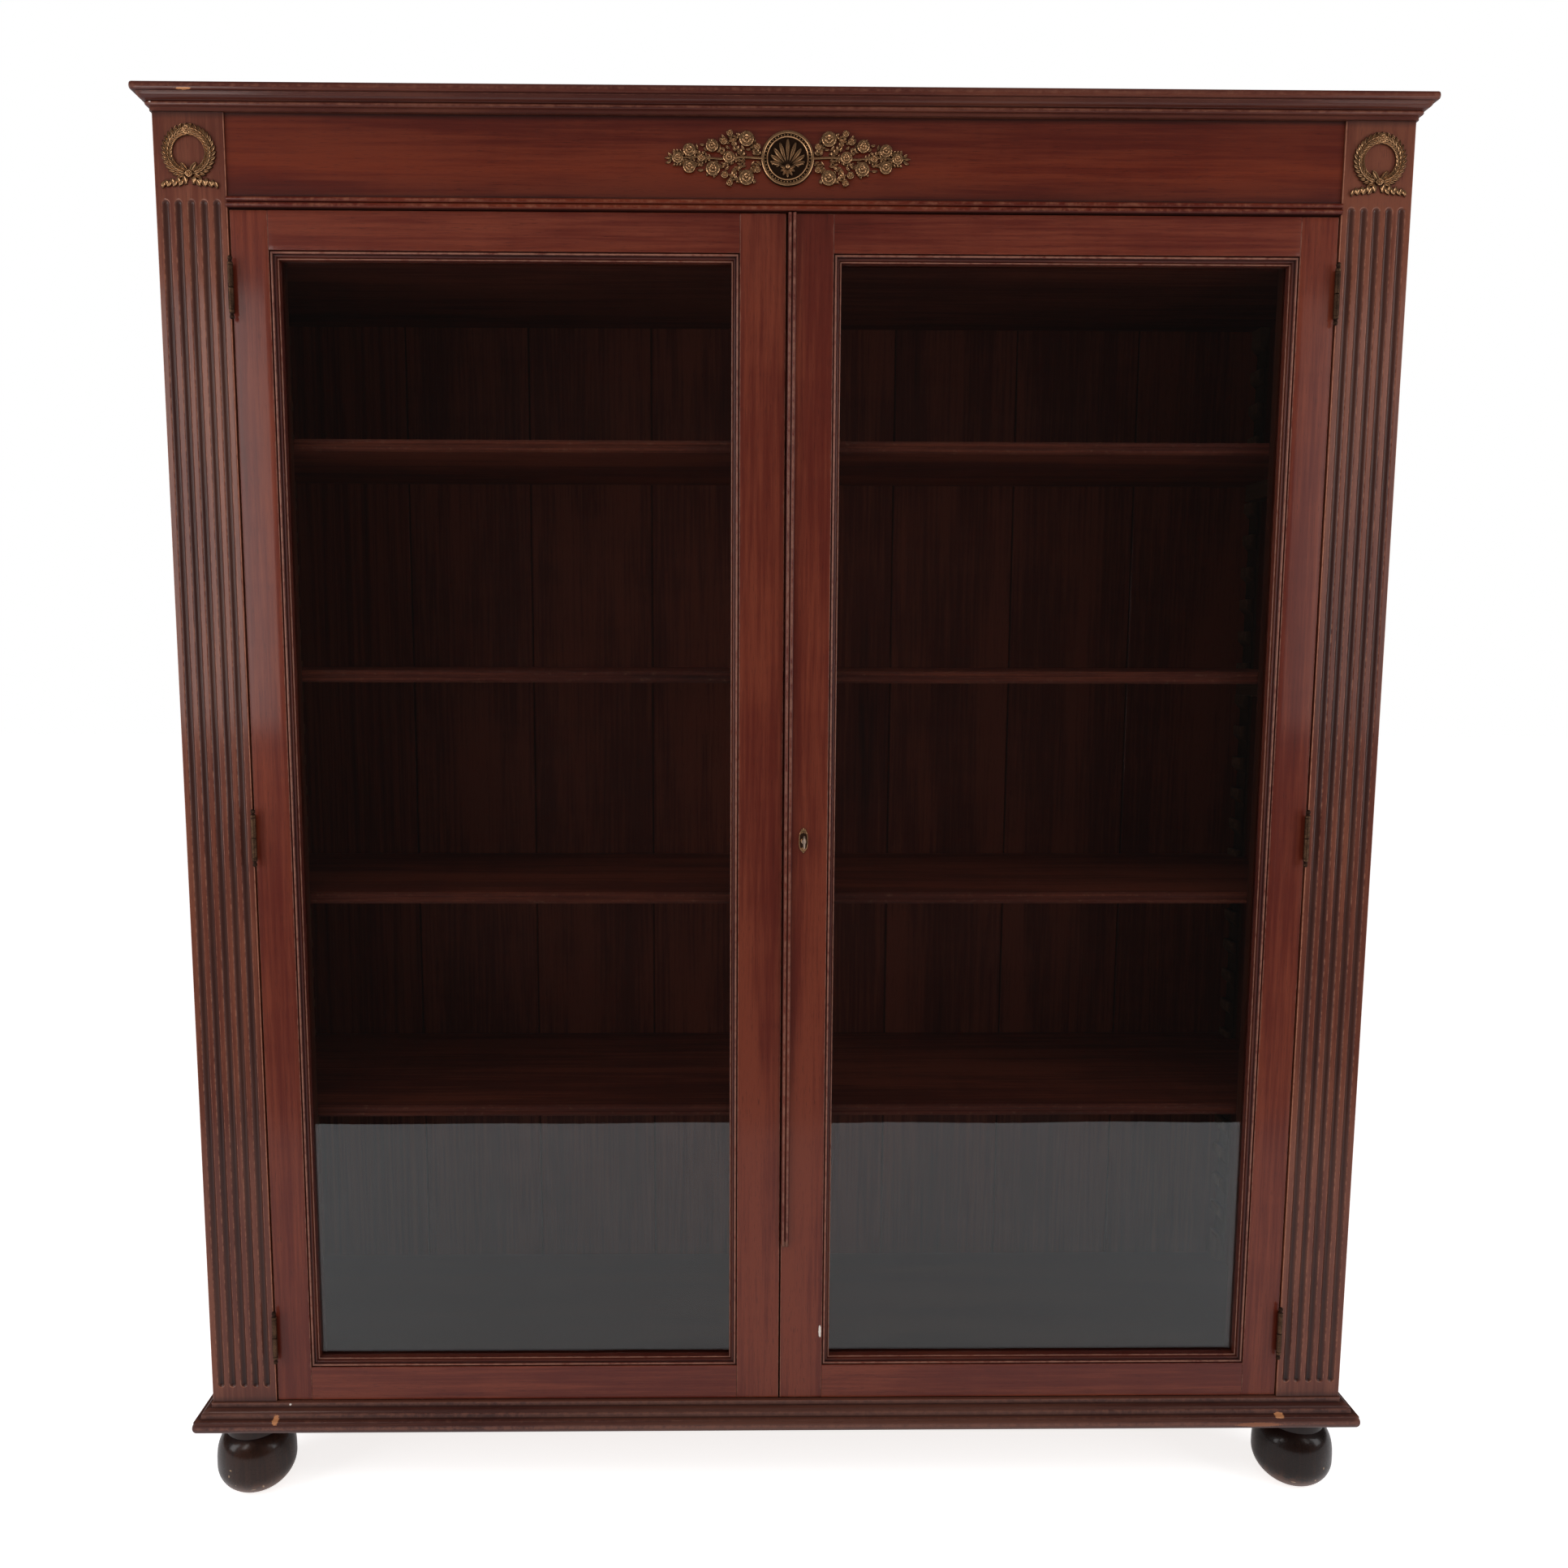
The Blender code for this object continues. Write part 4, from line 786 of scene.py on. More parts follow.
# %% Turned feet
COLLAR = 0.038               # radius of the collar over the ball
WAIST = 0.0365               # height of the ball's widest place
SHOULDER = 0.0460            # from there up to the collar
for node in ("foot_front_left", "foot_front_right", "foot_back_left", "foot_back_right"):
    low, high = corners(node)
    middle = (low + high) / 2
    ball = (high[0] - low[0]) / 2
    rise = np.linspace(0.0, 1.0, 16) * (SHOULDER - 0.0003)
    upper = ball * (1 - (rise / (SHOULDER * 1.15)) ** 3.0) ** (1 / 3.0)
    turn = np.linspace(math.acos(0.024 / ball), 0, 14)
    lower = np.column_stack([ball * np.cos(turn), WAIST - WAIST / math.sin(turn[0]) * np.sin(turn)])
    top = base_low[2] - 0.0003
    profile = np.vstack([
        [(0.0, 0.0), (0.020, 0.0)], lower, np.column_stack([upper, WAIST + rise])[1:],
        [(COLLAR - 0.0012, WAIST + SHOULDER + 0.0004), (COLLAR, WAIST + SHOULDER + 0.0016)],
        [(COLLAR, top - 0.0015), (COLLAR - 0.0010, top), (0.0122, top)],
        [(0.012, high[2] - 0.001), (0.011, high[2]), (0.0, high[2])],
    ])
    scuffed = np.clip(1 - profile[:, 1] / 0.040, 0, 1) * (profile[:, 0] > 0.02)
    # Painted shade: a thin dark band in the crease where the ball meets the collar.
    crease = np.exp(-((profile[:, 1] - WAIST - SHOULDER) / 0.002) ** 2)
    foot = lathe(profile, (middle[0], middle[1], 0.0), segments=96,
                 wear=scuffed, soil=crease, shift=middle[0] * 3)
    make_piece(node + "_turned", foot, node, foot_wood)
print("foot ball", round(ball * 2000, 1), "mm across")

# %% [markdown]
# ## Fluted posts
# A flute is a round groove with a round end, cut by a cutter that travels along a line.
# The depth at any point is therefore a function of one number: its distance from that
# line. The whole fluted face is a single sheet of points pushed back by that function,
# with rows crowded together near the flutes' ends. A small softening at the lip makes
# the arris that catches the light, and the same distance lightens that arris, polish
# rubbing through and a painted highlight together, and darkens the flutes by their depth,
# grime and painted shade together.

# %% Posts with flutes
FLUTES = 5
FLUTE_PITCH = 0.0151
FLUTE_RADIUS = 0.005
FLUTE_AXIS = 0.002           # the cutter's centre stands this far in front of the face


def fluted_post(shift):
    """The right-hand post: fluted face, square back and the door stop behind it."""
    low, high = corners("post_right")
    inner, outer = 0.666, high[0]
    axes = 0.6778 + FLUTE_PITCH * np.arange(FLUTES)
    foot_line = low[2] + 0.0205 + FLUTE_RADIUS - 0.0005
    head_line = 1.657
    across = np.unique(np.round(np.concatenate(
        [np.linspace(inner + 0.0015, outer - 0.0015, 9)]
        + [x + np.linspace(-0.0056, 0.0056, 17) for x in axes]), 6))
    rows = np.unique(np.round(np.concatenate([
        [low[2], low[2] + 0.0006, low[2] + 0.008],
        foot_line - FLUTE_RADIUS * np.linspace(-0.6, 1.25, 16),
        np.linspace(foot_line + 0.01, head_line - 0.01, 30),
        head_line + FLUTE_RADIUS * np.linspace(-0.6, 1.25, 16),
        [high[2] - 0.008, high[2] - 0.0006, high[2]]]), 6))
    x, z = np.meshgrid(across, rows)
    beyond = np.maximum(0, np.maximum(foot_line - z, z - head_line))
    off = np.hypot(np.abs(x[..., None] - axes).min(-1), beyond)
    cut = np.sqrt(np.maximum(FLUTE_RADIUS ** 2 - off ** 2, 0)) - FLUTE_AXIS
    groove = 0.5 * (cut + np.sqrt(cut ** 2 + 0.0003 ** 2)) - 0.00001
    face = np.stack([x, POST_FACE + groove, z], -1)
    # Lips lightened (polish rubbing through and painted highlight); flutes darkened by depth, more so near
    # their lower ends (painted shade with grime).
    lip_wear_and_highlight = 0.75 * np.exp(-((off - 0.0046) / 0.0007) ** 2)
    pit = np.clip(groove / 0.003, 0, 1)
    lower_end_darkening = np.exp(-np.maximum(z - foot_line, 0) / 0.012) * (beyond < FLUTE_RADIUS)
    flute_shade_and_dirt = pit ** 0.8 * (0.68 + 0.25 * lower_end_darkening)
    turn = np.linspace(0, np.pi / 2, 5)
    ease = 0.0012
    thick = 0.0265
    bend = ease * (1 - np.column_stack([np.cos(turn), np.sin(turn)]))
    left_arc = bend + (inner, POST_FACE)
    right_arc = bend[:, ::-1] * (-1, 1) + (outer, POST_FACE)
    back = np.array([[outer, 0.010], [outer, thick], [inner, thick], [inner, 0.010]]) + (0, POST_FACE)
    plan = [pushed(part, rows, 2) for part in (left_arc, right_arc, back)]
    rings = np.concatenate([plan[0], face, plan[1], plan[2]], 1)
    arc_wear = np.broadcast_to(0.3 + 0.7 * np.sin(2 * turn), (len(rows), 5))
    plain = np.zeros((len(rows), 4))
    wear = np.concatenate([arc_wear, lip_wear_and_highlight, arc_wear, plain], 1)
    soil = np.concatenate([arc_wear * 0, flute_shade_and_dirt, arc_wear * 0, plain], 1)
    # Painted shade: the post darkens towards its top and bottom ends, where it meets the crown and the
    # base.
    ends = np.exp(-np.minimum(rows - low[2], high[2] - rows) / 0.004)[:, None] * 0.8
    stop = board((0.612, POST_FACE + thick, low[2]), (0.6662, POST_FACE + 0.0445, high[2]),
                 2, 0.0008, 0.5, 0.2, shift + 1)
    return joined(loft(rings, wear, np.maximum(soil, ends), 2, shift), stop)


post = fluted_post(6)
make_piece("post_right_fluted", post, "post_right", mahogany["post"], sharp=50)
make_piece("post_left_fluted", mirrored(post), "post_left", mahogany["post"], sharp=50)
print("post points:", len(post["points"]))

# %% [markdown]
# ## Sides, back, ceiling and frieze
# The sides are single wide boards; the back is boarded, with a small V worked on each
# joint so that shrinkage does not show as a crack; a thin ceiling closes the inside. The
# frieze above the doors is the piece chosen for its colour, and a double bead is worked
# on its lower edge, where it meets the doors.

# %% Case boards
for number, node in enumerate(("side_left", "side_right")):
    make_piece(node + "_board", node_board(node, 2, 0.001, 0.6, 0.1, 8 + number), node, mahogany["door"])


def boarded_back():
    """Upright boards with V joints, as one plan outline pushed upwards."""
    low, high = corners("back_panel")
    edges = np.linspace(low[0], high[0], 9)
    inner = edges[1:-1, None]
    front = np.concatenate([inner - 0.0022, inner - 0.00012, inner + 0.00012, inner + 0.0022], 1)
    deep = np.tile([0.0, 0.0020, 0.0020, 0.0], (len(inner), 1))
    x = np.concatenate([[low[0]], front.ravel(), [high[0]], [high[0]], [low[0]]])
    y = np.concatenate([[0], deep.ravel(), [0], [high[1] - low[1]] * 2]) + low[1]
    heights = np.linspace(low[2], high[2], 24)
    # The V joints are darkened, and the boards also darken towards their top and bottom ends, which is
    # painted shade in the case's inner corners.
    joint = np.concatenate([[0], (deep > 0).ravel() * 1.0, [0, 0, 0]])
    near_end = np.exp(-np.minimum(heights - low[2], high[2] - heights) / 0.06)
    dirt_and_shade = np.maximum(joint[None] * 0.9, 0.5 * near_end[:, None])
    part = loft(pushed(np.column_stack([x, y]), heights, 2), 0.0, dirt_and_shade, 2, 10)
    number = np.searchsorted(edges, part["points"][:, 0] - 1e-9)
    part["grain"][:, 2] += number * 1.37
    part["grain"][:, 0] += number * 0.71
    return part


make_piece("back_boards", boarded_back(), "back_panel", inside_wood)

ceiling_low, ceiling_high = corners("ceiling_board")
ceiling = joined(
    board((ceiling_low[0], POST_FACE + STOP_BACK, ceiling_low[2]), ceiling_high,
          0, 0.0008, 0.3, 0.4, 11),
    board((-STOP_INNER, ceiling_low[1], ceiling_low[2]),
          (STOP_INNER, POST_FACE + 0.0460, ceiling_high[2]), 0, 0.0008, 0.5, 0.3, 12),
)
make_piece("ceiling_planks", ceiling, "ceiling_board", inside_wood)


def frieze_outline():
    """Depth and height round the frieze's section, with two beads at the lower edge."""
    low, high = corners("frieze")
    face = POST_FACE + 0.003
    radius = 0.00325
    turn = np.linspace(-np.pi / 2, np.pi / 2, 9)
    section = [(high[1], low[2], 0, 0)]
    for middle in (low[2] + radius, low[2] + 3 * radius):
        reach = low[1] + radius
        arc = np.column_stack([reach - radius * np.cos(turn), middle + radius * np.sin(turn) * 0.96])
        # Each bead is lightened along its front, painted highlight with polish rubbing through, and
        # darkened at its sides, painted shade.
        shine = np.clip(np.cos(turn) * 1.2 - 0.3, 0, 1)
        section += np.column_stack([arc, shine, 1 - np.cos(turn) ** 0.5]).tolist()
    over_beads = low[2] + 4 * radius
    # Painted shade: the face darkens just above the beads and at its top edge under the crown.
    section += [(face, over_beads + 0.0003, 0.0, 1.0), (face, over_beads + 0.004, 0.0, 0.3)]
    section += [(face, 1.700, 0.0, 0.0), (face, high[2] - 0.006, 0.0, 0.2)]
    section += [(face, high[2], 0.0, 1.0), (high[1], high[2], 0, 0)]
    return np.array(section)


section = frieze_outline()
frieze_low, frieze_high = corners("frieze")
rings = pushed(section[:, :2], np.linspace(frieze_low[0], frieze_high[0], 80), 0)
frieze = loft(rings, section[:, 2][None] * 0.8, section[:, 3][None], 0, 13)
high_socket = round_bore("top_bolt", frieze_low[2] - 0.001, frieze_low[2] + 0.0105)
make_piece("frieze_board", frieze, "frieze", mahogany["frieze"], sharp=45, hollows=[high_socket])
print("back boards: 8; frieze section points:", len(section))

# %% [markdown]
# ## Doors
# Each door is two stiles and two rails with a small moulding planted round the glass. The
# moulding is a bead, a quirk and an inner bead; it is built as four lengths, each cut at
# 45 degrees, so its grain turns the corner as real mitred stock does. The quirks, too
# narrow to clean, and the frame's corners are darkened, grime and painted shade together,
# and the beads' crowns are lightened, polish rubbing through and a painted highlight
# together.

# %% Stiles, rails and the moulding round the glass
DOOR_FACE = POST_FACE + 0.002
DOOR_THICK = 0.022
MEETING = (0.0010, 0.0565)   # the meeting stile's two sides, out from the middle
OUTER = (0.6195, 0.6645)     # and the outer stile's


def moulding_section():
    """Distance in from the frame's flat and depth behind its face, round the section."""
    turn = np.linspace(0, np.pi, 11)
    bead = np.column_stack([0.0028 - 0.0018 * np.cos(turn), 0.0024 - 0.0020 * np.sin(turn)])
    short = turn[:9]
    small = np.column_stack([0.0089 - 0.0011 * np.cos(short), 0.0068 - 0.0012 * np.sin(short)])
    cove = np.linspace(0, np.pi / 2, 6)
    hollow = np.column_stack([0.0052 + 0.0024 * np.sin(cove), 0.0030 + 0.0034 * (1 - np.cos(cove))])
    parts = [
        (np.array([[0.0, 0.020], [0.0, 0.0012], [0.0006, 0.0026]]), (0, 0.3, 0), (0, 0.6, 1.0)),
        (bead, np.sin(turn) ** 2, 0.9 * np.abs(np.cos(turn)) ** 3),
        (np.array([[0.0049, 0.0034]]), (0,), (1.0,)),
        (hollow, np.full(6, 0.15), np.linspace(0.6, 0.4, 6)),
        (small, np.sin(short), 0.8 * np.abs(np.cos(short)) ** 3),
        (np.array([[0.0100, 0.0076], [0.0100, 0.020]]), (0.3, 0), (0.5, 0.5)),
    ]
    return [np.concatenate(values) for values in zip(*parts)]


def mitred_frame(left, right, bottom, top, shift):
    """Four mitred lengths of the moulding round a rectangle in the door's plane."""
    section, wear, soil = moulding_section()
    inwards, deep = section.T
    share = np.linspace(0, 1, 40)[:, None]
    y = np.broadcast_to(DOOR_FACE + deep, (40, len(section)))
    lengths = []
    spans = ((left, right, bottom, top, 2), (bottom, top, left, right, 0))
    for first, (near_side, far_side, start, stop, along) in enumerate(spans):
        for side, (fixed, sign) in enumerate(((near_side, 1), (far_side, -1))):
            run = start + inwards + share * (stop - start - 2 * inwards)
            across = np.broadcast_to(fixed + sign * inwards, run.shape)
            # Painted shade: each length darkens towards its mitred ends, in the frame's corners.
            near = np.exp(-np.minimum(run - start, stop - run) / 0.006)
            x, z = (across, run) if along == 2 else (run, across)
            lengths.append(loft(np.stack([x, y, z], -1), wear, np.clip(soil + 0.5 * near, 0, 1),
                                along, shift + 2 * first + side))
    return joined(*lengths)


def wavy_pane(low, high, columns=40, rows=90):
    """Old drawn glass: a thin closed slab whose two faces wander together by a hair."""
    x, z = np.meshgrid(np.linspace(low[0], high[0], columns), np.linspace(low[2], high[2], rows))
    wave = 0.00010 * np.sin(9.0 * x + 5.0 * z + 1.7 * np.sin(4.0 * z))
    wave += 0.00005 * np.sin(23.0 * x - 7.0 * z)
    thick = (high[1] - low[1]) / 2 - 0.0002
    front = np.stack([x, (low[1] + high[1]) / 2 - thick + wave, z], -1)
    rear = front + (0, 2 * thick, 0)
    index = np.arange(rows * columns).reshape(rows, columns)
    rim = np.concatenate([index[0], index[1:, -1], index[-1, -2::-1], index[-2:0:-1, 0]])
    after = np.roll(rim, -1)
    edge = np.stack([rim, after, after + index.size, rim + index.size], 1)
    face = grid_faces(rows, columns)
    return sheet(np.concatenate([front, rear]), [face, face + index.size, edge], 0, 0, 2)


def glass_finish():
    """Clear glass; light from the lamps passes it weakened, and is not bent."""
    material, tree, shader = new_material("pane_glass")
    place = add_node(tree, "TexCoord").outputs["Object"]
    haze = stretched_noise(tree, place, (3.0, 3.0, 3.0), 4.0)
    film = add_node(tree, "MapRange", {
        "Value": haze, "From Min": 0.45, "From Max": 0.8, "To Max": 0.02,
    })
    fill_inputs(shader, {
        "Base Color": (0.92, 0.95, 0.94, 1.0), "Metallic": 0.0, "Transmission Weight": 1.0,
        "IOR": 1.45, "Roughness": film.outputs[0],
    })
    clear = add_node(tree, "BsdfTransparent", {"Color": (0.40, 0.39, 0.38, 1.0)})
    path = add_node(tree, "LightPath").outputs
    share = calculate(tree, "MAXIMUM", path["Is Shadow Ray"], path["Is Diffuse Ray"])
    mixed = either(tree, share, shader, clear)
    fill_inputs(tree.nodes["Material Output"], {"Surface": mixed.outputs[0]})
    return material


pane_glass = glass_finish()
for number, (door, sign) in enumerate((("left_door", -1), ("right_door", 1))):
    bottom, top = (corner[2] for corner in corners(door + "_outer_stile"))
    flat_x = np.sort(sign * np.array([MEETING[1], OUTER[0]]))
    flat_z = np.array([0.1865, 1.6055])
    back = DOOR_FACE + DOOR_THICK
    for label, sides in (("outer", OUTER), ("meeting", MEETING)):
        near, far = np.sort(sign * np.array(sides))
        stile = board((near, DOOR_FACE, bottom), (far, back, top), 2, 0.0011, 0.9, 0.0,
                      20 + number * 7 + len(label))
        bores = []
        if label == "meeting" and door == "left_door":
            low_end, high_end = corners("bottom_bolt")[1][2], corners("top_bolt")[0][2]
            bores = [round_bore("bottom_bolt", bottom - 0.001, low_end + BORE_GAP),
                     round_bore("top_bolt", high_end - BORE_GAP, top + 0.001),
                     bolt_pocket(far - 0.0068, far + 0.001)]
        elif label == "meeting":
            bores = [bolt_pocket(near - 0.001, corners("lock_bolt")[1][0] + BORE_GAP)]
        make_piece(f"{door}_{label}_upright", stile, f"{door}_{label}_stile", mahogany["door"],
                   hollows=bores)
    for label, z0, z1 in (("bottom", bottom, flat_z[0]), ("top", flat_z[1], top)):
        rail = board((flat_x[0] + 0.0001, DOOR_FACE + 0.0001, z0), (flat_x[1] - 0.0001, back, z1),
                     0, 0.0005, 0.6, 0.0, 30 + number * 5 + len(label))
        make_piece(f"{door}_{label}_crosspiece", rail, f"{door}_{label}_rail", mahogany["door"])
    mould = mitred_frame(*flat_x, *flat_z, 50 + 9 * number)
    make_piece(f"{door}_moulding", mould, f"{door}_top_rail", mahogany["door"], sharp=30)
    pane = wavy_pane(*corners(door + "_glass"))
    make_piece(f"{door}_pane", pane, f"{door}_glass", pane_glass, sharp=60)
print("door frames and panes done; moulding section points:", len(moulding_section()[0]))

# %% [markdown]
# ## Closing bead
# A slim double bead is glued to the right door and laps over the left one, to hide the
# gap. Its lowest length has broken off, as happens where feet and brooms reach it, so
# the last ring of points is ragged instead of square.

# %% Closing bead with its broken end
bead_low, bead_high = corners("astragal")


def closing_bead():
    """Two fine beads side by side, pushed up from a ragged lower end."""
    turn = np.linspace(0, np.pi, 10)
    width = bead_high[0] - bead_low[0]
    radius = width / 4 - 0.0001
    tall = bead_high[1] - bead_low[1]
    section = []
    for middle in (bead_low[0] + 0.0001 + radius, bead_high[0] - 0.0001 - radius):
        # Each bead is lightened along its crown, polish rubbing through and a painted highlight together,
        # and darkened down its sides, painted shade.
        section.append(np.column_stack([
            middle - radius * np.cos(turn), bead_low[1] + tall * (0.62 - 0.62 * np.sin(turn)),
            np.sin(turn) ** 2, 1 - np.sin(turn),
        ]))
    ends = ([(bead_low[0], bead_high[1], 0, 1)], [(bead_high[0], bead_high[1], 0, 1)])
    section = np.vstack([ends[0], *section, ends[1]])
    heights = np.concatenate([[0, 0.003, 0.008], np.linspace(0.02, bead_high[2] - bead_low[2], 60)])
    ragged = 0.010 * (0.5 + 0.5 * np.sin(section[:, 0] * 2600 + 1.0))
    ragged = np.clip(ragged + 0.004 * np.sin(section[:, 0] * 7100), 0, None)
    rings = pushed(section[:, :2], bead_low[2] + heights, 2)
    rings[..., 2] += ragged * np.exp(-heights[:, None] / 0.006)
    torn = np.exp(-heights / 0.004)[:, None]
    return loft(rings, np.maximum(section[:, 2] * 0.8, torn), section[:, 3] * (1 - torn), 2, 61)


make_piece("closing_bead", closing_bead(), "astragal", mahogany["door"], sharp=40)
print("bead runs from", round(float(bead_low[2]), 3), "to", round(float(bead_high[2]), 3))

# %% [markdown]
# ## Metal finishes
# Gilt bronze is bright only on its high points: the gold has gone from the hollows, which
# hold a green-brown film. Old brass is plainer and darker, and the iron key and bolts are
# grey-brown. One group mixes a bright and a dull colour by the edge and corner masks and a
# fine noise, so the relief's own shape decides where the metal still shines; the bright
# high points also carry a painted highlight, and the dull hollows painted shade.

# %% Metal group and finishes
def build_metal_group():
    """Bright on high, handled places and dull in hollows, with fine pitting; the bright part also holds a
    painted highlight, and the dull part painted shade.
    """
    tree, given, out = new_group(
        "aged_metal",
        [("Bright", "Color", (0.5, 0.3, 0.1, 1.0)), ("Dull", "Color", (0.1, 0.06, 0.02, 1.0)),
         ("Roughness", "Float", 0.35), ("Scale", "Float", 900.0)],
        [("Color", "Color"), ("Roughness", "Float"), ("Height", "Float")],
    )
    place = add_node(tree, "TexCoord").outputs["Object"]
    fine = add_node(tree, "TexNoise", {
        "Vector": place, "Scale": given["Scale"], "Detail": 4.0,
    }).outputs[0]
    broad = add_node(tree, "TexNoise", {"Vector": place, "Scale": 90.0, "Detail": 3.0}).outputs[0]
    level = add_part(tree, attribute(tree, "wear"), fine, 0.7)
    level = add_part(tree, level, broad, 0.6)
    bright = soft_step(tree, calculate(tree, "SUBTRACT", level, attribute(tree, "soil")), 0.75, 1.45)
    dull = calculate(tree, "SUBTRACT", 1.0, bright)
    fill_inputs(out, {
        "Color": blend_colour(tree, bright, given["Dull"], given["Bright"]),
        "Roughness": add_part(tree, given["Roughness"], dull, 0.35), "Height": fine,
    })
    return tree


metal_group = build_metal_group()


def metal(name, bright, dull, roughness):
    """A metal finish from its bright and dull colours."""
    material, tree, shader = new_material(name)
    aged = add_node(tree, "Group", {
        "Bright": (*bright, 1.0), "Dull": (*dull, 1.0), "Roughness": roughness, "Scale": 900.0,
    }, node_tree=metal_group)
    dress(shader, aged.outputs["Color"], aged, 0.3)
    shader.inputs["Metallic"].default_value = 0.85
    return material


gilt_bronze = metal("worn_gilt_bronze", (0.58, 0.32, 0.155), (0.040, 0.018, 0.009), 0.24)
old_brass = metal("dark_brass", (0.20, 0.105, 0.055), (0.034, 0.015, 0.009), 0.36)
old_iron = metal("old_iron", (0.46, 0.34, 0.26), (0.11, 0.075, 0.055), 0.36)
print("metals:", gilt_bronze.name, old_brass.name, old_iron.name)

# %% [markdown]
# ## Hinges
# The doors hang on loose-pin butt hinges: a lower knuckle fixed to the case, an upper one
# fixed to the door, and a small turned finial on each end. The knuckles are turned round
# the pin's axis; the leaves are thin plates let into the wood, each held by screws.

# %% Hinge knuckles, leaves and screws
PIN = np.array([0.6635, -0.179])


def turned_knuckle(sign, middle, upper):
    """Half of a hinge: barrel, two rings and a ball finial, from the middle outwards."""
    turn = np.linspace(np.pi * 0.30, np.pi, 9)
    ball = np.column_stack([0.0028 * np.sin(turn), 0.0338 - 0.0030 * np.cos(turn)])
    profile = np.vstack([
        [(0.0, 0.0003), (0.0026, 0.0003), (0.0031, 0.0008), (0.0031, 0.0250), (0.0026, 0.0256)],
        [(0.0032, 0.0262), (0.0032, 0.0286), (0.0026, 0.0296), (0.0018, 0.0304)], ball,
    ])
    profile[-1, 0] = 0.0
    shine = np.clip(profile[:, 0] / 0.0032, 0, 1) ** 2 * 0.6
    profile[:, 1] = middle + (1 if upper else -1) * profile[:, 1]
    return lathe(profile, (sign * PIN[0], PIN[1], 0.0), segments=28, wear=shine, soil=0.2)


def hinge_half(sign, middle, upper):
    """A knuckle, its leaf, the web between them and the leaf's three screws."""
    inner, outer = ((0.6633, 0.6645) if upper else (0.6660, 0.6672))
    own = 1 if upper else -1
    leaf = board((sign * inner, PIN[1] + 0.0042, middle - 0.028),
                 (sign * outer, POST_FACE + 0.020, middle + 0.028), 2, 0.0002, 0.4, 0.3)
    web = board((sign * inner, PIN[1], middle + own * 0.0010),
                (sign * outer, PIN[1] + 0.0050, middle + own * 0.0250), 2, 0.0002, 0.4, 0.3)
    head = np.array([(0.0, -0.0001), (0.0026, 0.0), (0.0024, 0.0003), (0.0, 0.0004)])
    screws = [
        lathe(head, (sign * (inner + 0.00005), POST_FACE + 0.011, middle + step), axis=0,
              segments=20, wear=0.7)
        for step in (-0.018, 0.0, 0.018)
    ]
    return joined(turned_knuckle(sign, middle, upper), leaf, web, *screws)


HINGE_HEIGHTS = (("bottom", 0.232), ("middle", 0.896), ("top", 1.560))
for side, sign in (("left", -1), ("right", 1)):
    for row, middle in HINGE_HEIGHTS:
        for part, upper in (("case", False), ("door", True)):
            node = f"hinge_{side}_{row}_{part}"
            make_piece(node + "_brass", hinge_half(sign, middle, upper), node, old_brass, sharp=30)
print("hinge halves: 12")

# %% [markdown]
# ## Gilt mounts
# The mounts are thin castings: pillows of metal with veins and rims chased into them. A
# leaf is a sheet of points whose outline is a sine raised to a power, domed across and
# creased along its vein; one call places any number of leaves from arrays of positions,
# angles and sizes. Petals, ribbons and buds come from the same sheet. Stems are tubes
# along smooth curves. Everything is laid out on the right half and mirrored.

# %% Relief helpers
def leaves(place, angle, length, width, height, fullness=0.9, crease=0.35, lift=0.0,
           around=12, steps=11):
    """Closed leaf pillows in the plane of the mount: x along it, y up it, z out of it."""
    place = np.atleast_2d(np.asarray(place, float))
    count = len(place)
    angle, length, width, height, lift = (
        np.broadcast_to(np.asarray(value, float), count)[:, None, None]
        for value in (angle, length, width, height, lift)
    )
    share = np.linspace(0, 1, steps)[None, :, None]
    outline = np.sin(np.pi * share ** fullness)
    turn = np.linspace(0, 2 * np.pi, around, endpoint=False)[None, None, :]
    across = np.cos(turn) * outline
    dome = np.maximum(np.sin(turn), -0.15) * np.sqrt(outline)
    vein = crease * np.exp(-(np.cos(turn) / 0.25) ** 2) * (np.sin(turn) > 0) * np.sqrt(outline)
    along = length * share + across * 0
    side = width / 2 * across
    out = lift * np.sqrt(np.clip(share * 1.5, 0, 1)) + height * (dome - vein)
    x = place[:, 0, None, None] + along * np.cos(angle) - side * np.sin(angle)
    y = place[:, 1, None, None] + along * np.sin(angle) + side * np.cos(angle)
    points = np.stack([x, y, out + x * 0], -1).reshape(-1, 3)
    single = grid_faces(steps, around, close_columns=True)
    faces = (single[None] + (np.arange(count) * steps * around)[:, None, None]).reshape(-1, 4)
    # Each pillow's raised middle is lightened and its flanks darkened: painted highlight and painted shade.
    shine = np.clip(dome * 1.1 - vein * 2.0, 0, 1) + x * 0
    return sheet(points, [faces], shine, np.clip(0.5 - dome, 0, 1) + x * 0)


def tube(path, radius, around=8, heights=0.0):
    """A rod of varying radius along a smooth curve in the mount's plane."""
    path = eased_path(path, 8)
    tangent = np.gradient(path, axis=0)
    tangent /= np.linalg.norm(tangent, axis=1, keepdims=True)
    sideways = np.column_stack([-tangent[:, 1], tangent[:, 0]])
    radius = np.atleast_1d(radius)
    radius = np.interp(np.linspace(0, 1, len(path)), np.linspace(0, 1, len(radius)), radius)
    turn = np.linspace(0, 2 * np.pi, around, endpoint=False)
    rings = np.zeros((len(path), around, 3))
    rings[..., :2] = path[:, None] + sideways[:, None] * (radius[:, None] * np.cos(turn))[..., None]
    rings[..., 2] = radius[:, None] * np.sin(turn) + heights
    # The rod's outer half is lightened: painted highlight.
    return loft(rings, np.clip(np.sin(turn), 0, 1), 0.2)


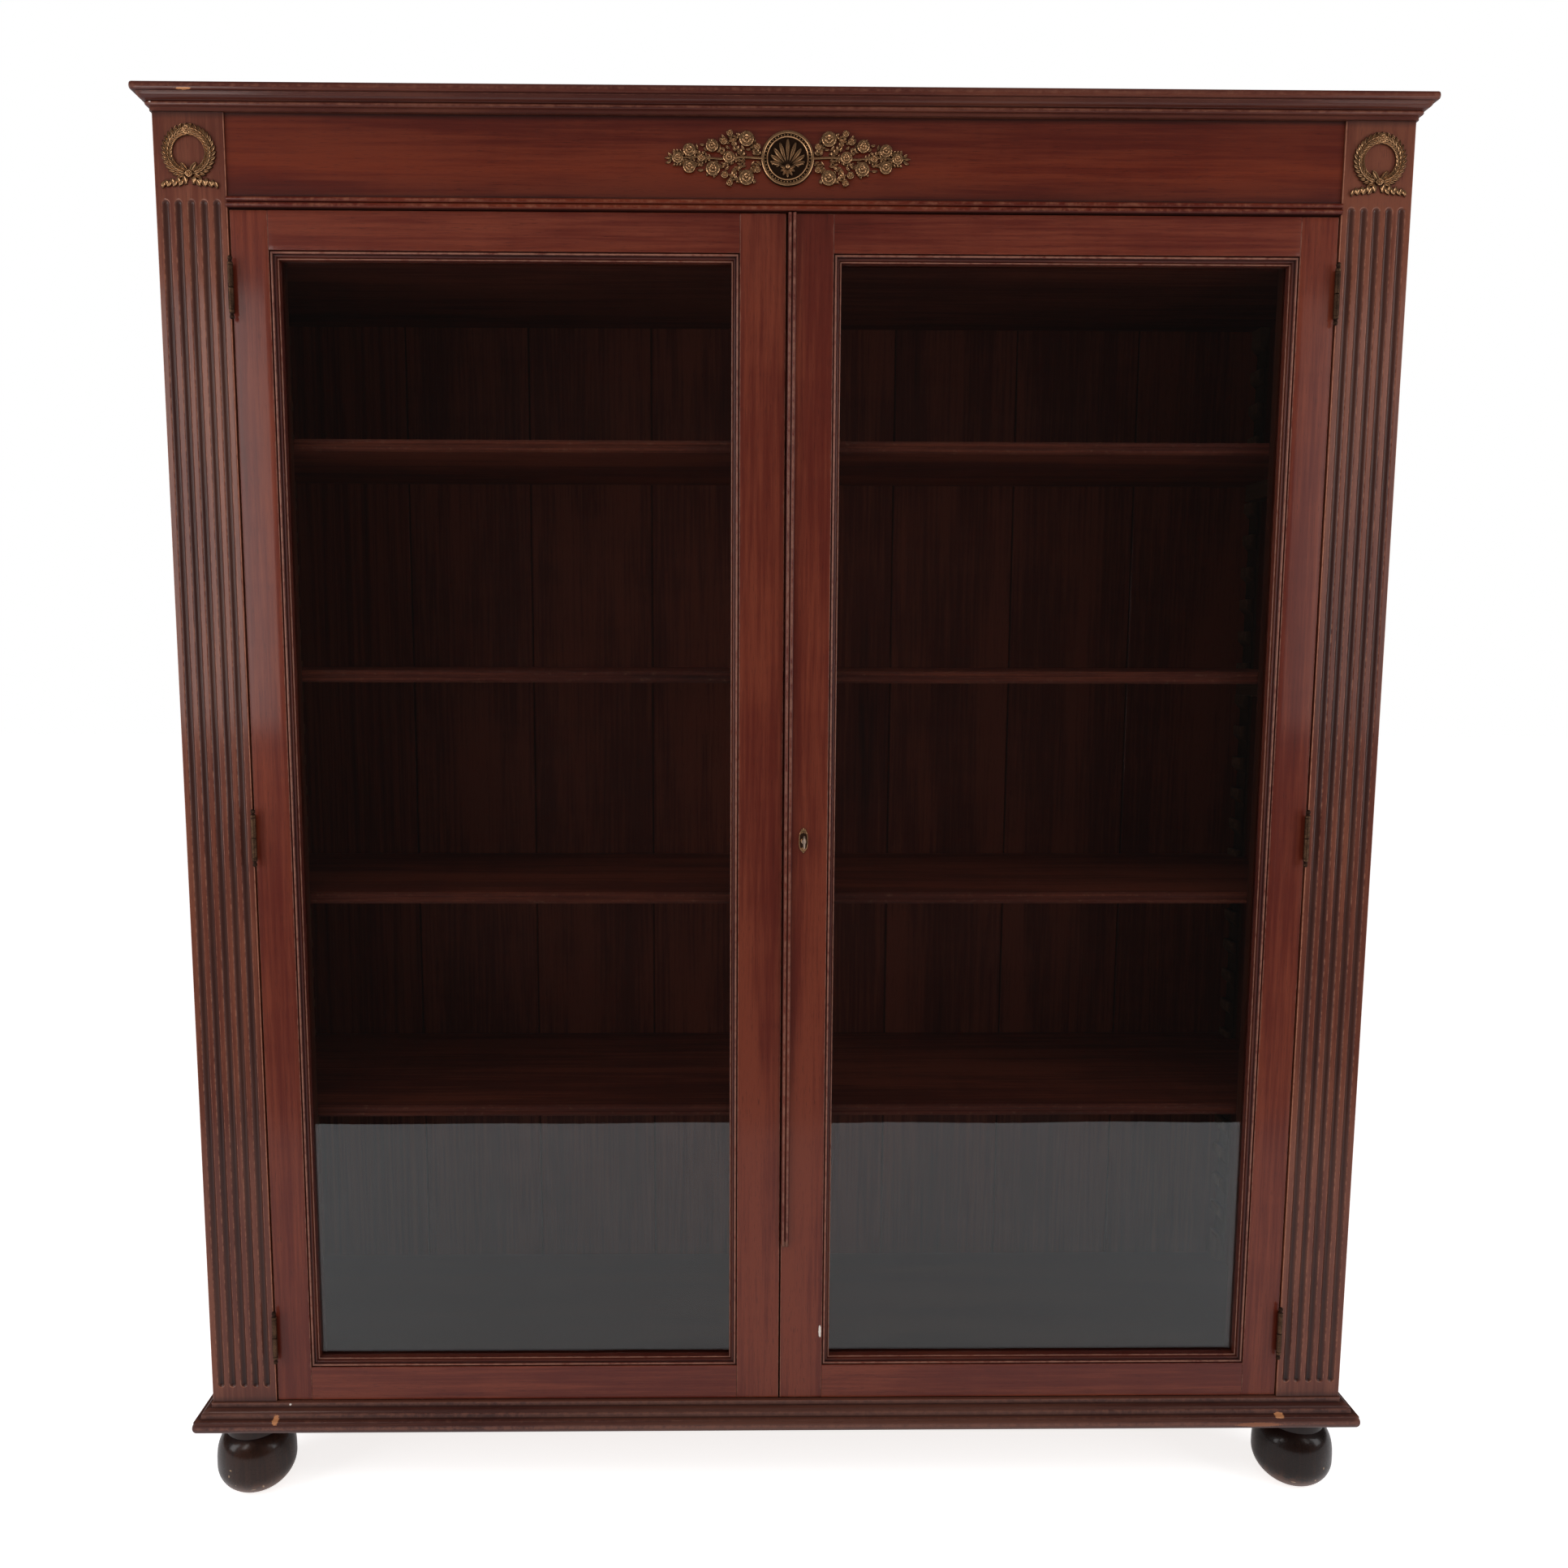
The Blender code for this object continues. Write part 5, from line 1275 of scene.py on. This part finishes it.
def rings_of(centre, profile, segments=72):
    """Round relief about an axis out of the mount: a profile of (radius, height)."""
    profile = np.asarray(profile, float)
    high = profile[:, 1] / profile[:, 1].max()
    # Higher rings are lightened and lower ones darkened: painted highlight and painted shade.
    return lathe(profile, (*centre, 0.0), segments=segments, wear=high ** 2, soil=1 - high)


def beads(centres, radius, height=0.0):
    """Many small half-round beads."""
    turn = np.linspace(0, np.pi / 2, 5)
    spin = np.linspace(0, 2 * np.pi, 10, endpoint=False)
    ball = np.stack(np.broadcast_arrays(
        radius * np.cos(turn)[:, None] * np.cos(spin), radius * np.cos(turn)[:, None] * np.sin(spin),
        radius * np.sin(turn)[:, None] + height), -1)
    points = ball[None] + np.concatenate([centres, np.zeros((len(centres), 1))], 1)[:, None, None]
    single = grid_faces(5, 10, close_columns=True)
    faces = (single[None] + (np.arange(len(centres)) * 50)[:, None, None]).reshape(-1, 4)
    base = np.arange(9, -1, -1)[None] + (np.arange(len(centres)) * 50)[:, None]
    shine = np.broadcast_to(np.sin(turn)[None, :, None], points.shape[:3])
    return sheet(points, [faces, base], shine, 0.0)


def flower(centre, radius, petals=5, turn=0.3, height=0.0016):
    """A rosette: a ring of blunt petals over a smaller ring, with a domed heart."""
    centre = np.asarray(centre, float)
    angle = turn + np.arange(petals) * 2 * np.pi / petals
    middle = np.repeat(centre[None], petals, 0)
    wide = 2.3 * radius * math.sin(math.pi / petals)
    outer = leaves(middle, angle, radius, wide, height, fullness=1.5, crease=0.3, lift=height * 0.7)
    inner = leaves(middle, angle + np.pi / petals, radius * 0.62, wide * 0.55, height,
                   1.4, 0.2, height * 1.1)
    heart = np.linspace(0, np.pi / 2, 5)
    dome = np.column_stack([radius * 0.22 * np.cos(heart), height * 1.3 + radius * 0.2 * np.sin(heart)])
    dome = np.vstack([[(0, 0), (radius * 0.22, 0)], dome])
    return joined(outer, inner, rings_of(centre, dome, 20))


def to_world(part, middle_x, middle_z, back_y, front_y):
    """Stand a relief up on the case: its height runs forwards, kept between two depths."""
    x, y, up = part["points"].T
    out = np.clip(up, 0, None) * (back_y - front_y) / up.max()
    return {**part, "points": np.column_stack([middle_x + x, back_y - out, middle_z + y])}


test_flower = flower((0, 0), 0.01)
print("a rosette has", len(test_flower["points"]), "points")

# %% [markdown]
# ## Frieze mount
# A round medal in the middle, ringed with beads and filled with a fan of palm leaves,
# throws out a leafy spray on both sides. Five-petalled flowers sit on the stem, small
# leaves fill between them, and the tip ends in a bud. The medal's device is a plain fan,
# nobody's emblem.

# %% Frieze mount
MM = 0.001


def medal():
    """Rim, bead ring, dished field and a two-row fan of leaves."""
    rim = np.array([(0, 0), (32, 0), (32, 1.2), (31, 2.6), (29.5, 3.0), (28.2, 2.6), (27.6, 1.4),
                    (25.6, 1.3), (25.2, 2.4), (24.4, 2.9), (23.5, 2.4), (23.0, 1.0), (20, 0.8),
                    (0, 0.9)]) * MM
    turn = np.arange(44) * 2 * np.pi / 44
    ring = np.column_stack([np.cos(turn), np.sin(turn)]) * 26.7 * MM
    lean = np.linspace(-1.32, 1.32, 9)
    root = np.column_stack([2.6 * np.sin(lean), -9.0 + 1.5 * np.cos(lean)]) * MM
    fan = leaves(root, np.pi / 2 - lean, (32.0 - 9.0 * np.abs(lean)) * MM, 5.4 * MM, 1.8 * MM,
                 1.5, 0.35, 0.9 * MM)
    dip = np.linspace(-2.6, 2.6, 7)
    lower = leaves(np.repeat([(0.0, -10.0 * MM)], 7, 0), -np.pi / 2 + dip * 0.62,
                   (12.5 - 1.2 * np.abs(dip)) * MM, 3.6 * MM, 1.5 * MM, 1.3, 0.35, 0.9 * MM)
    scrolls = []
    for side in (-1, 1):
        curl = np.linspace(0.2, 4.6, 12)
        reach = 5.6 - curl
        path = np.column_stack([side * (13.5 + reach * np.cos(curl)), -8.0 + reach * np.sin(curl)])
        scrolls.append(tube(path * MM, np.array([0.9, 0.7, 0.9]) * MM, 8, 1.2 * MM))
    knob = np.array([(0, 0.5), (3.0, 0.5), (3.0, 2.2), (2.2, 3.4), (0, 3.9)]) * MM
    heart = rings_of((0, 0), knob, 24)
    heart["points"][:, 1] -= 9.5 * MM
    edge = rings_of((0, 0), rim)
    return joined(edge, beads(ring, 0.95 * MM, 1.5 * MM), fan, lower, heart, *scrolls)


def spray():
    """The leafy branch on the right of the medal."""
    stem = tube(np.array([(30, 0), (55, 1), (80, -1), (105, 1), (128, 0), (146, 0)]) * MM,
                np.array([1.7, 1.5, 1.4, 1.2, 1.0, 0.7]) * MM, heights=0.8 * MM)
    upper_ends = [
        ((33, 4), (40, 12), (48, 21)), ((52, 3), (62, 14), (69, 28)), ((60, 1), (75, 6), (89, 13)),
        ((92, 0), (104, 4), (116, 9)), ((45, 20), (58, 25), (66, 19)), ((110, 0), (122, 5), (133, 6)),
    ]
    lower_ends = [
        ((33, -4), (40, -12), (48, -21)), ((52, -3), (62, -14), (69, -28)),
        ((60, -1), (75, -7), (88, -12)), ((92, 0), (104, -5), (116, -10)),
        ((45, -20), (58, -25), (66, -19)), ((110, 0), (122, -5), (133, -6)),
    ]
    branch_ends = [path for pair in zip(upper_ends, lower_ends) for path in pair]
    thin = np.array([1.1, 0.9, 0.6]) * MM
    branches = [tube(np.array(path) * MM, thin, 6, 0.6 * MM) for path in branch_ends]
    blooms = [((49, 22), 9.5), ((49, -22), 9.5), ((89, -12), 9.0), ((90, 14), 8.0), ((117, 9), 8.0),
              ((117, -10), 8.0), ((131, 0), 7.0), ((70, 1), 7.5), ((69, 28), 4.0), ((69, -28), 4.0),
              ((75, -19), 4.5), ((76, 19), 4.5), ((103, 0), 4.5), ((36, 13), 4.0), ((36, -13), 4.0)]
    flowers = [flower(np.array(spot) * MM, size * MM, 5, 0.3 + index, 1.9 * MM)
               for index, (spot, size) in enumerate(blooms)]
    chance = np.random.default_rng(7)
    x, y = np.meshgrid(np.arange(37.0, 141.0, 6.2), np.arange(-27.0, 28.0, 6.0))
    x = (x + chance.uniform(-2, 2, x.shape)).ravel()
    y = (y + chance.uniform(-2, 2, y.shape)).ravel()
    reach = 26.5 * (1 - (np.abs(x - 30) / 122) ** 1.6)
    kept = (np.abs(y) < reach) & (np.abs(y) > 2.2)
    x, y = x[kept], y[kept]
    heading = np.arctan2(y * 1.3, 24) + chance.uniform(-0.9, 0.9, len(x))
    fill = leaves(np.column_stack([x, y]) * MM, heading, chance.uniform(6.0, 8.6, len(x)) * MM,
                  3.5 * MM, 1.2 * MM, 0.9, 0.5, chance.uniform(0.1, 0.9, len(x)) * MM)
    parts = [fill]
    for path in branch_ends:
        curve = eased_path(np.array(path) * MM, 3)
        heading = np.arctan2(np.gradient(curve[:, 1]), np.gradient(curve[:, 0]))
        parts += [leaves(curve, heading + turn, 5.2 * MM, 2.6 * MM, 1.2 * MM, 0.9, 0.4, 0.9 * MM)
                  for turn in (0.8, -0.8)]
    tip = leaves([(0.138, 0.0), (0.137, 0.001), (0.137, -0.001)], [0.0, 0.7, -0.7], [0.0085, 0.008, 0.008],
                 0.0036, 0.0016)
    return joined(stem, tip, *branches, *flowers, *parts)


mount_low, mount_high = corners("frieze_mount")
right_spray = spray()
mount = joined(medal(), right_spray, mirrored(right_spray))
mount_middle = (mount_low + mount_high) / 2
mount = to_world(mount, mount_middle[0], mount_middle[2], mount_high[1], mount_low[1] - 0.001)
make_piece("frieze_spray", mount, "frieze_mount", gilt_bronze, sharp=60)
print("mount spans", np.round(np.ptp(mount["points"], axis=0) * 1000, 1), "mm; box", mount_high - mount_low)

# %% [markdown]
# ## Corner wreaths
# Each post carries a laurel wreath: two branches of overlapping leaves that climb from a
# ribbon tied at the foot and meet under a small rosette. The ribbon's loose ends flutter
# down on both sides, as a row of leaf pillows that slant one way and the other in turn.

# %% Laurel wreaths
def wreath(radius):
    """Right half first: leaves climbing the ring, ribbon end and tail; then its mirror."""
    turn = np.linspace(-0.44, 0.47, 16) * np.pi
    ring = np.column_stack([np.cos(turn), np.sin(turn)]) * radius
    heading = turn + np.pi / 2
    leaf_size = 0.46 * radius
    rows = [
        leaves(ring * stretch, heading + lean, leaf_size, leaf_size * 0.40, 1.7 * MM, 0.85, 0.5, lift * MM)
        for stretch, lean, lift in ((1.03, -0.62, 0.6), (1.0, 0.0, 1.6), (0.97, 0.62, 0.6))
    ]
    core = tube(ring[::3], 1.3 * MM, 10, 0.0)
    berries = beads(ring[1::4] * 1.16, 0.9 * MM, 0.6 * MM)
    steps = np.arange(8)
    start = np.column_stack([3.5 + 3.6 * steps, -radius / MM - 12.5 - 0.5 * steps + 8.0 * (steps % 2)]) * MM
    slope = np.where(steps % 2 == 0, 1.25, -1.05)
    ribbon = leaves(start, slope, (12.0 - 0.4 * steps) * MM, 5.6 * MM, 1.9 * MM, 1.0, 0.35, 0.6 * MM)
    tail = leaves([(30.5 * MM, -radius - 9.0 * MM), (2.0 * MM, -radius - 3.0 * MM)], [-1.35, -1.2],
                  [0.0085, 0.011], 0.0036, 0.0016, lift=0.0004)
    inside = leaves([(0.6 * MM, -radius + 1.0 * MM), (2.2 * MM, -radius + 5.0 * MM)], [0.95, 0.75],
                    [0.0150, 0.0110], 0.0056, 0.0022, crease=0.5, lift=0.0014)
    half = joined(*rows, core, berries, ribbon, tail, inside)
    top = flower((0, radius * 1.02), 6.2 * MM, 6, 0.5, 1.9 * MM)
    knot = flower((0, -radius * 1.0), 4.5 * MM, 4, 0.8, 1.9 * MM)
    return joined(half, mirrored(half), top, knot)


for side in ("left", "right"):
    low, high = corners("wreath_" + side)
    relief = wreath(0.0245)
    flat = relief["points"]
    fit = min((size - 0.0004) / reach for size, reach in zip((high - low)[[0, 2]], np.ptp(flat, axis=0)))
    relief["points"] = flat = flat * (fit, fit, 1.0)
    centre_x, centre_z = (low + high)[[0, 2]] / 2 - (flat.max(0) + flat.min(0))[:2] / 2
    relief = to_world(relief, centre_x, centre_z, high[1], low[1] - 0.0005)
    make_piece(f"laurel_{side}", relief, "wreath_" + side, gilt_bronze, sharp=60)
    print("wreath", side, "box", np.round((high - low) * 1000, 1), "fit", round(float(fit), 3))

# %% [markdown]
# ## Lock
# The lock's pierced plate, the key and the bolts are small, but hands and eyes go there.
# The plate is a scrolled shield with a crown of leaves; the key's bow is a flat oval
# ring, seen edge-on while it stands in the lock. The bolts are plain iron and brass bars
# that slide in the door's edge.

# %% Plate, key and bolts
plate_low, plate_high = corners("escutcheon")
plate_middle = (plate_low + plate_high) / 2
plate_tall = plate_high[2] - plate_low[2]
plate_wide = plate_high[0] - plate_low[0]
shield_turn = np.linspace(0, 2 * np.pi, 48, endpoint=False)
shield = np.column_stack([
    plate_wide * 0.47 * np.cos(shield_turn) * (1 - 0.18 * np.cos(2 * shield_turn)),
    plate_tall * 0.36 * np.sin(shield_turn),
])
shield_rings = np.stack([
    np.column_stack([shield * scale, np.full(48, lift)])
    for scale, lift in ((1.0, 0.0), (1.0, 0.0008), (0.94, 0.0013), (0.86, 0.0010), (0.78, 0.0008))
])
crown_leaf = leaves(np.repeat([(0.0, plate_tall * 0.28)], 5, 0), np.pi / 2 + np.linspace(-1, 1, 5),
                    plate_tall * np.array([0.15, 0.18, 0.21, 0.18, 0.15]), 0.0032, 0.0012, lift=0.0003)
foot_leaf = leaves(np.repeat([(0.0, -plate_tall * 0.28)], 3, 0), np.linspace(-0.7, 0.7, 3) - np.pi / 2,
                   plate_tall * np.array([0.14, 0.20, 0.14]), 0.0032, 0.0012, lift=0.0003)
scrolls = flower((0.0, -plate_tall * 0.30), 0.0028, 5, 0.3, 0.0009)
slot = rings_of((0, 0), [(0, 0.0009), (0.0026, 0.0009), (0.0029, 0.0013), (0.0033, 0.0009)], 28)
# The shield's raised rim is lightened, gilding rubbing bright and a painted highlight together, and its
# dish a little darkened, patina and painted shade together.
shield_wear_and_highlight = np.array([0, 0.5, 1.0, 0.5, 0.2])[:, None]
shield_dirt_and_shade = np.array([0, 0, 0, 0.1, 0.2])[:, None]
plate = joined(loft(shield_rings, shield_wear_and_highlight, shield_dirt_and_shade), crown_leaf, foot_leaf, scrolls, slot)
plate = to_world(plate, plate_middle[0], plate_middle[2], plate_high[1], plate_low[1])
make_piece("keyhole_plate", plate, "escutcheon", gilt_bronze, sharp=50)

key_low, key_high = corners("key")
key_x, key_z = 0.026, 0.892


def oval_ring(middle, reach_y, reach_z, radius):
    """A ring of round wire in the upright plane that holds the key's shank."""
    around = np.linspace(0, 2 * np.pi, 40, endpoint=False)[:, None]
    turn = np.linspace(0, 2 * np.pi, 12, endpoint=False)[None]
    x = middle[0] + radius * np.sin(turn) + around * 0
    y = middle[1] + (reach_y + radius * np.cos(turn)) * np.cos(around)
    z = middle[2] + (reach_z + radius * np.cos(turn)) * np.sin(around)
    faces = grid_faces(40, 12, True, True)
    # The wire's outer and inner rims are lightened: iron rubbing bright and a painted highlight together.
    return sheet(np.stack([x, y, z], -1), [faces], np.abs(np.cos(turn)) + x * 0, 0.1)


bow_middle = (key_x, key_low[1] + 0.0050, key_z)
shank = np.array([
    (0, key_low[1] + 0.0085), (0.0018, key_low[1] + 0.0086), (0.0028, key_low[1] + 0.0092),
    (0.0028, key_low[1] + 0.0102), (0.0018, key_low[1] + 0.0108),
    (0.0018, key_high[1] - 0.0004), (0.0014, key_high[1]), (0, key_high[1]),
])
key_bow = oval_ring(bow_middle, 0.0036, 0.0071, 0.0013)
key_shank = lathe(shank, (key_x, 0, key_z), axis=1, segments=24, wear=0.6)
key_bit = board((key_x - 0.0007, key_high[1] - 0.0062, key_z - 0.0060),
                (key_x + 0.0007, key_high[1] - 0.0018, key_z), 2, 0.0002, 0.5)
make_piece("lock_key", joined(key_bow, key_shank, key_bit), "key", old_iron, sharp=40)

bolt = node_board("lock_bolt", 0, 0.0005, 0.8, 0.1)
make_piece("lock_bolt_bar", bolt, "lock_bolt", old_iron)
for node in ("top_bolt", "bottom_bolt"):
    low, high = corners(node)
    radius = (high[0] - low[0]) / 2
    middle = (low + high) / 2
    stops = np.array([(0, 0), (radius - 0.0006, 0), (radius, 0.0008)])
    tall = high[2] - low[2]
    waist = radius * 0.82
    groove = np.array([(radius, 0.46), (waist, 0.465), (waist, 0.535), (radius, 0.54)]) * (1, tall)
    bar = np.vstack([stops, groove, stops[::-1] * (1, -1) + (0, tall)])
    rod = lathe(bar, (middle[0], middle[1], low[2]), segments=24, wear=0.5)
    make_piece(node + "_rod", rod, node, old_brass)
print("key spans", np.round((key_high - key_low) * 1000, 1), "mm")

# %% [markdown]
# ## Shelves, racks and cleats
# The shelves rest on loose cleats dropped into toothed racks, an old way to make a shelf
# adjustable without drilling. A rack is a strip with a sloping tooth every few
# centimetres; its outline is one zigzag line pushed across the strip. The shelves' front
# edges carry a small groove between two beads.

# %% Toothed racks, cleats and shelves
NOTCH_PITCH = 0.048
FIRST_LEDGE = 0.201
NOTCH_DEPTH = 0.009
NOTCH_TALL = 0.0246


def rack(node):
    """A strip whose inner face steps in at each ledge and slopes back out above it."""
    low, high = corners(node)
    sign = np.sign(low[0])
    inner, outer = (low[0], high[0]) if sign > 0 else (high[0], low[0])
    ledges = FIRST_LEDGE + NOTCH_PITCH * np.arange(40)
    ledges = ledges[ledges < high[2] - NOTCH_PITCH * 0.6]
    steps = np.array([(0, -0.0012), (0.0008, 0), (NOTCH_DEPTH, 0), (NOTCH_DEPTH, NOTCH_TALL),
                      (0, NOTCH_TALL + 0.0095)])
    tooth = (steps * (sign, 1))[None] + np.column_stack([ledges * 0 + inner, ledges])[:, None]
    ends = [(inner, high[2]), (outer, high[2]), (outer, low[2])]
    edge = np.vstack([[(inner, low[2])], tooth.reshape(-1, 2), ends])
    stations = np.array([low[1], low[1] + 0.0005, high[1] - 0.0005, high[1]])
    # Each notch is darkened at its back, grime and painted shade together, and each tooth's edge lightened,
    # wood rubbing bare and a painted highlight together.
    soil = np.concatenate([[0.2], np.tile([0.0, 0.1, 0.9, 0.8, 0.1], len(ledges)), [0.2, 0.5, 0.5]])
    wear = np.concatenate([[0.2], np.tile([0.8, 0.8, 0.0, 0.0, 0.6], len(ledges)), [0.2, 0, 0]])
    return loft(pushed(edge, stations, 1), wear, soil, 2, 70 + low[1])


for node in ("rack_front_left", "rack_front_right", "rack_back_left", "rack_back_right"):
    make_piece(node + "_strip", rack(node), node, rack_wood, sharp=20)


def shelf(node, shift):
    """A shelf cut round the racks at its ends, with a groove along its front edge."""
    low, high = corners(node)
    top, bottom = high[2], low[2]
    notch = 0.7137
    front_notch, back_notch = -0.0977, 0.1492
    core = board((-notch, low[1] + 0.0009, bottom), (notch, high[1], top), 0, 0.0010, 0.6, 0.1, shift)
    ears = [
        board((side * (notch - 0.001), front_notch, bottom + 0.00005),
              (side * high[0], back_notch, top - 0.00005), 0, 0.0008, 0.4, 0.2, shift)
        for side in (-1, 1)
    ]
    thick = top - bottom
    turn = np.linspace(0, np.pi, 8)
    radius = thick * 0.19
    beads_section = [(low[1] + 0.004, bottom + 0.0003, 0, 0)]
    # Each bead of the front edge is lightened along its round, polish rubbing through and a painted
    # highlight together, and the groove between them darkened, grime and painted shade together.
    for middle in (bottom + thick * 0.25, top - thick * 0.25):
        arc = np.column_stack([low[1] + 0.0012 - 0.0012 * np.sin(turn), middle - radius * np.cos(turn)])
        beads_section += np.column_stack([arc, np.sin(turn), 0.9 * (1 - np.sin(turn))]).tolist()
    beads_section.append((low[1] + 0.004, top - 0.0003, 0, 0))
    shape = np.array(beads_section)
    rings = pushed(shape[:, :2], np.linspace(-notch + 0.0005, notch - 0.0005, 40), 0)
    return joined(core, *ears, loft(rings, shape[:, 2] * 0.45, shape[:, 3], 0, shift))


for number in range(1, 5):
    node = f"shelf_{number}"
    make_piece(node + "_board", shelf(node, 80 + 3 * number), node, inside_wood, sharp=30)
    for side in ("left", "right"):
        node = f"cleat_{number}_{side}"
        make_piece(node + "_bar", node_board(node, 1, 0.0010, 0.8, 0.1, 90 + number), node, rack_wood)
print("pieces:", piece_count, "triangles:", triangle_total)

# %% [markdown]
# ## Finish
# The last step measures how far the box round everything has moved from the plain
# model's box and prints the largest change.

seen_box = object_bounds()
growth = np.abs(np.array(seen_box) - np.array(cad_box))
print("largest change of the box:", round(float(growth.max()) * 1000, 2), "mm")
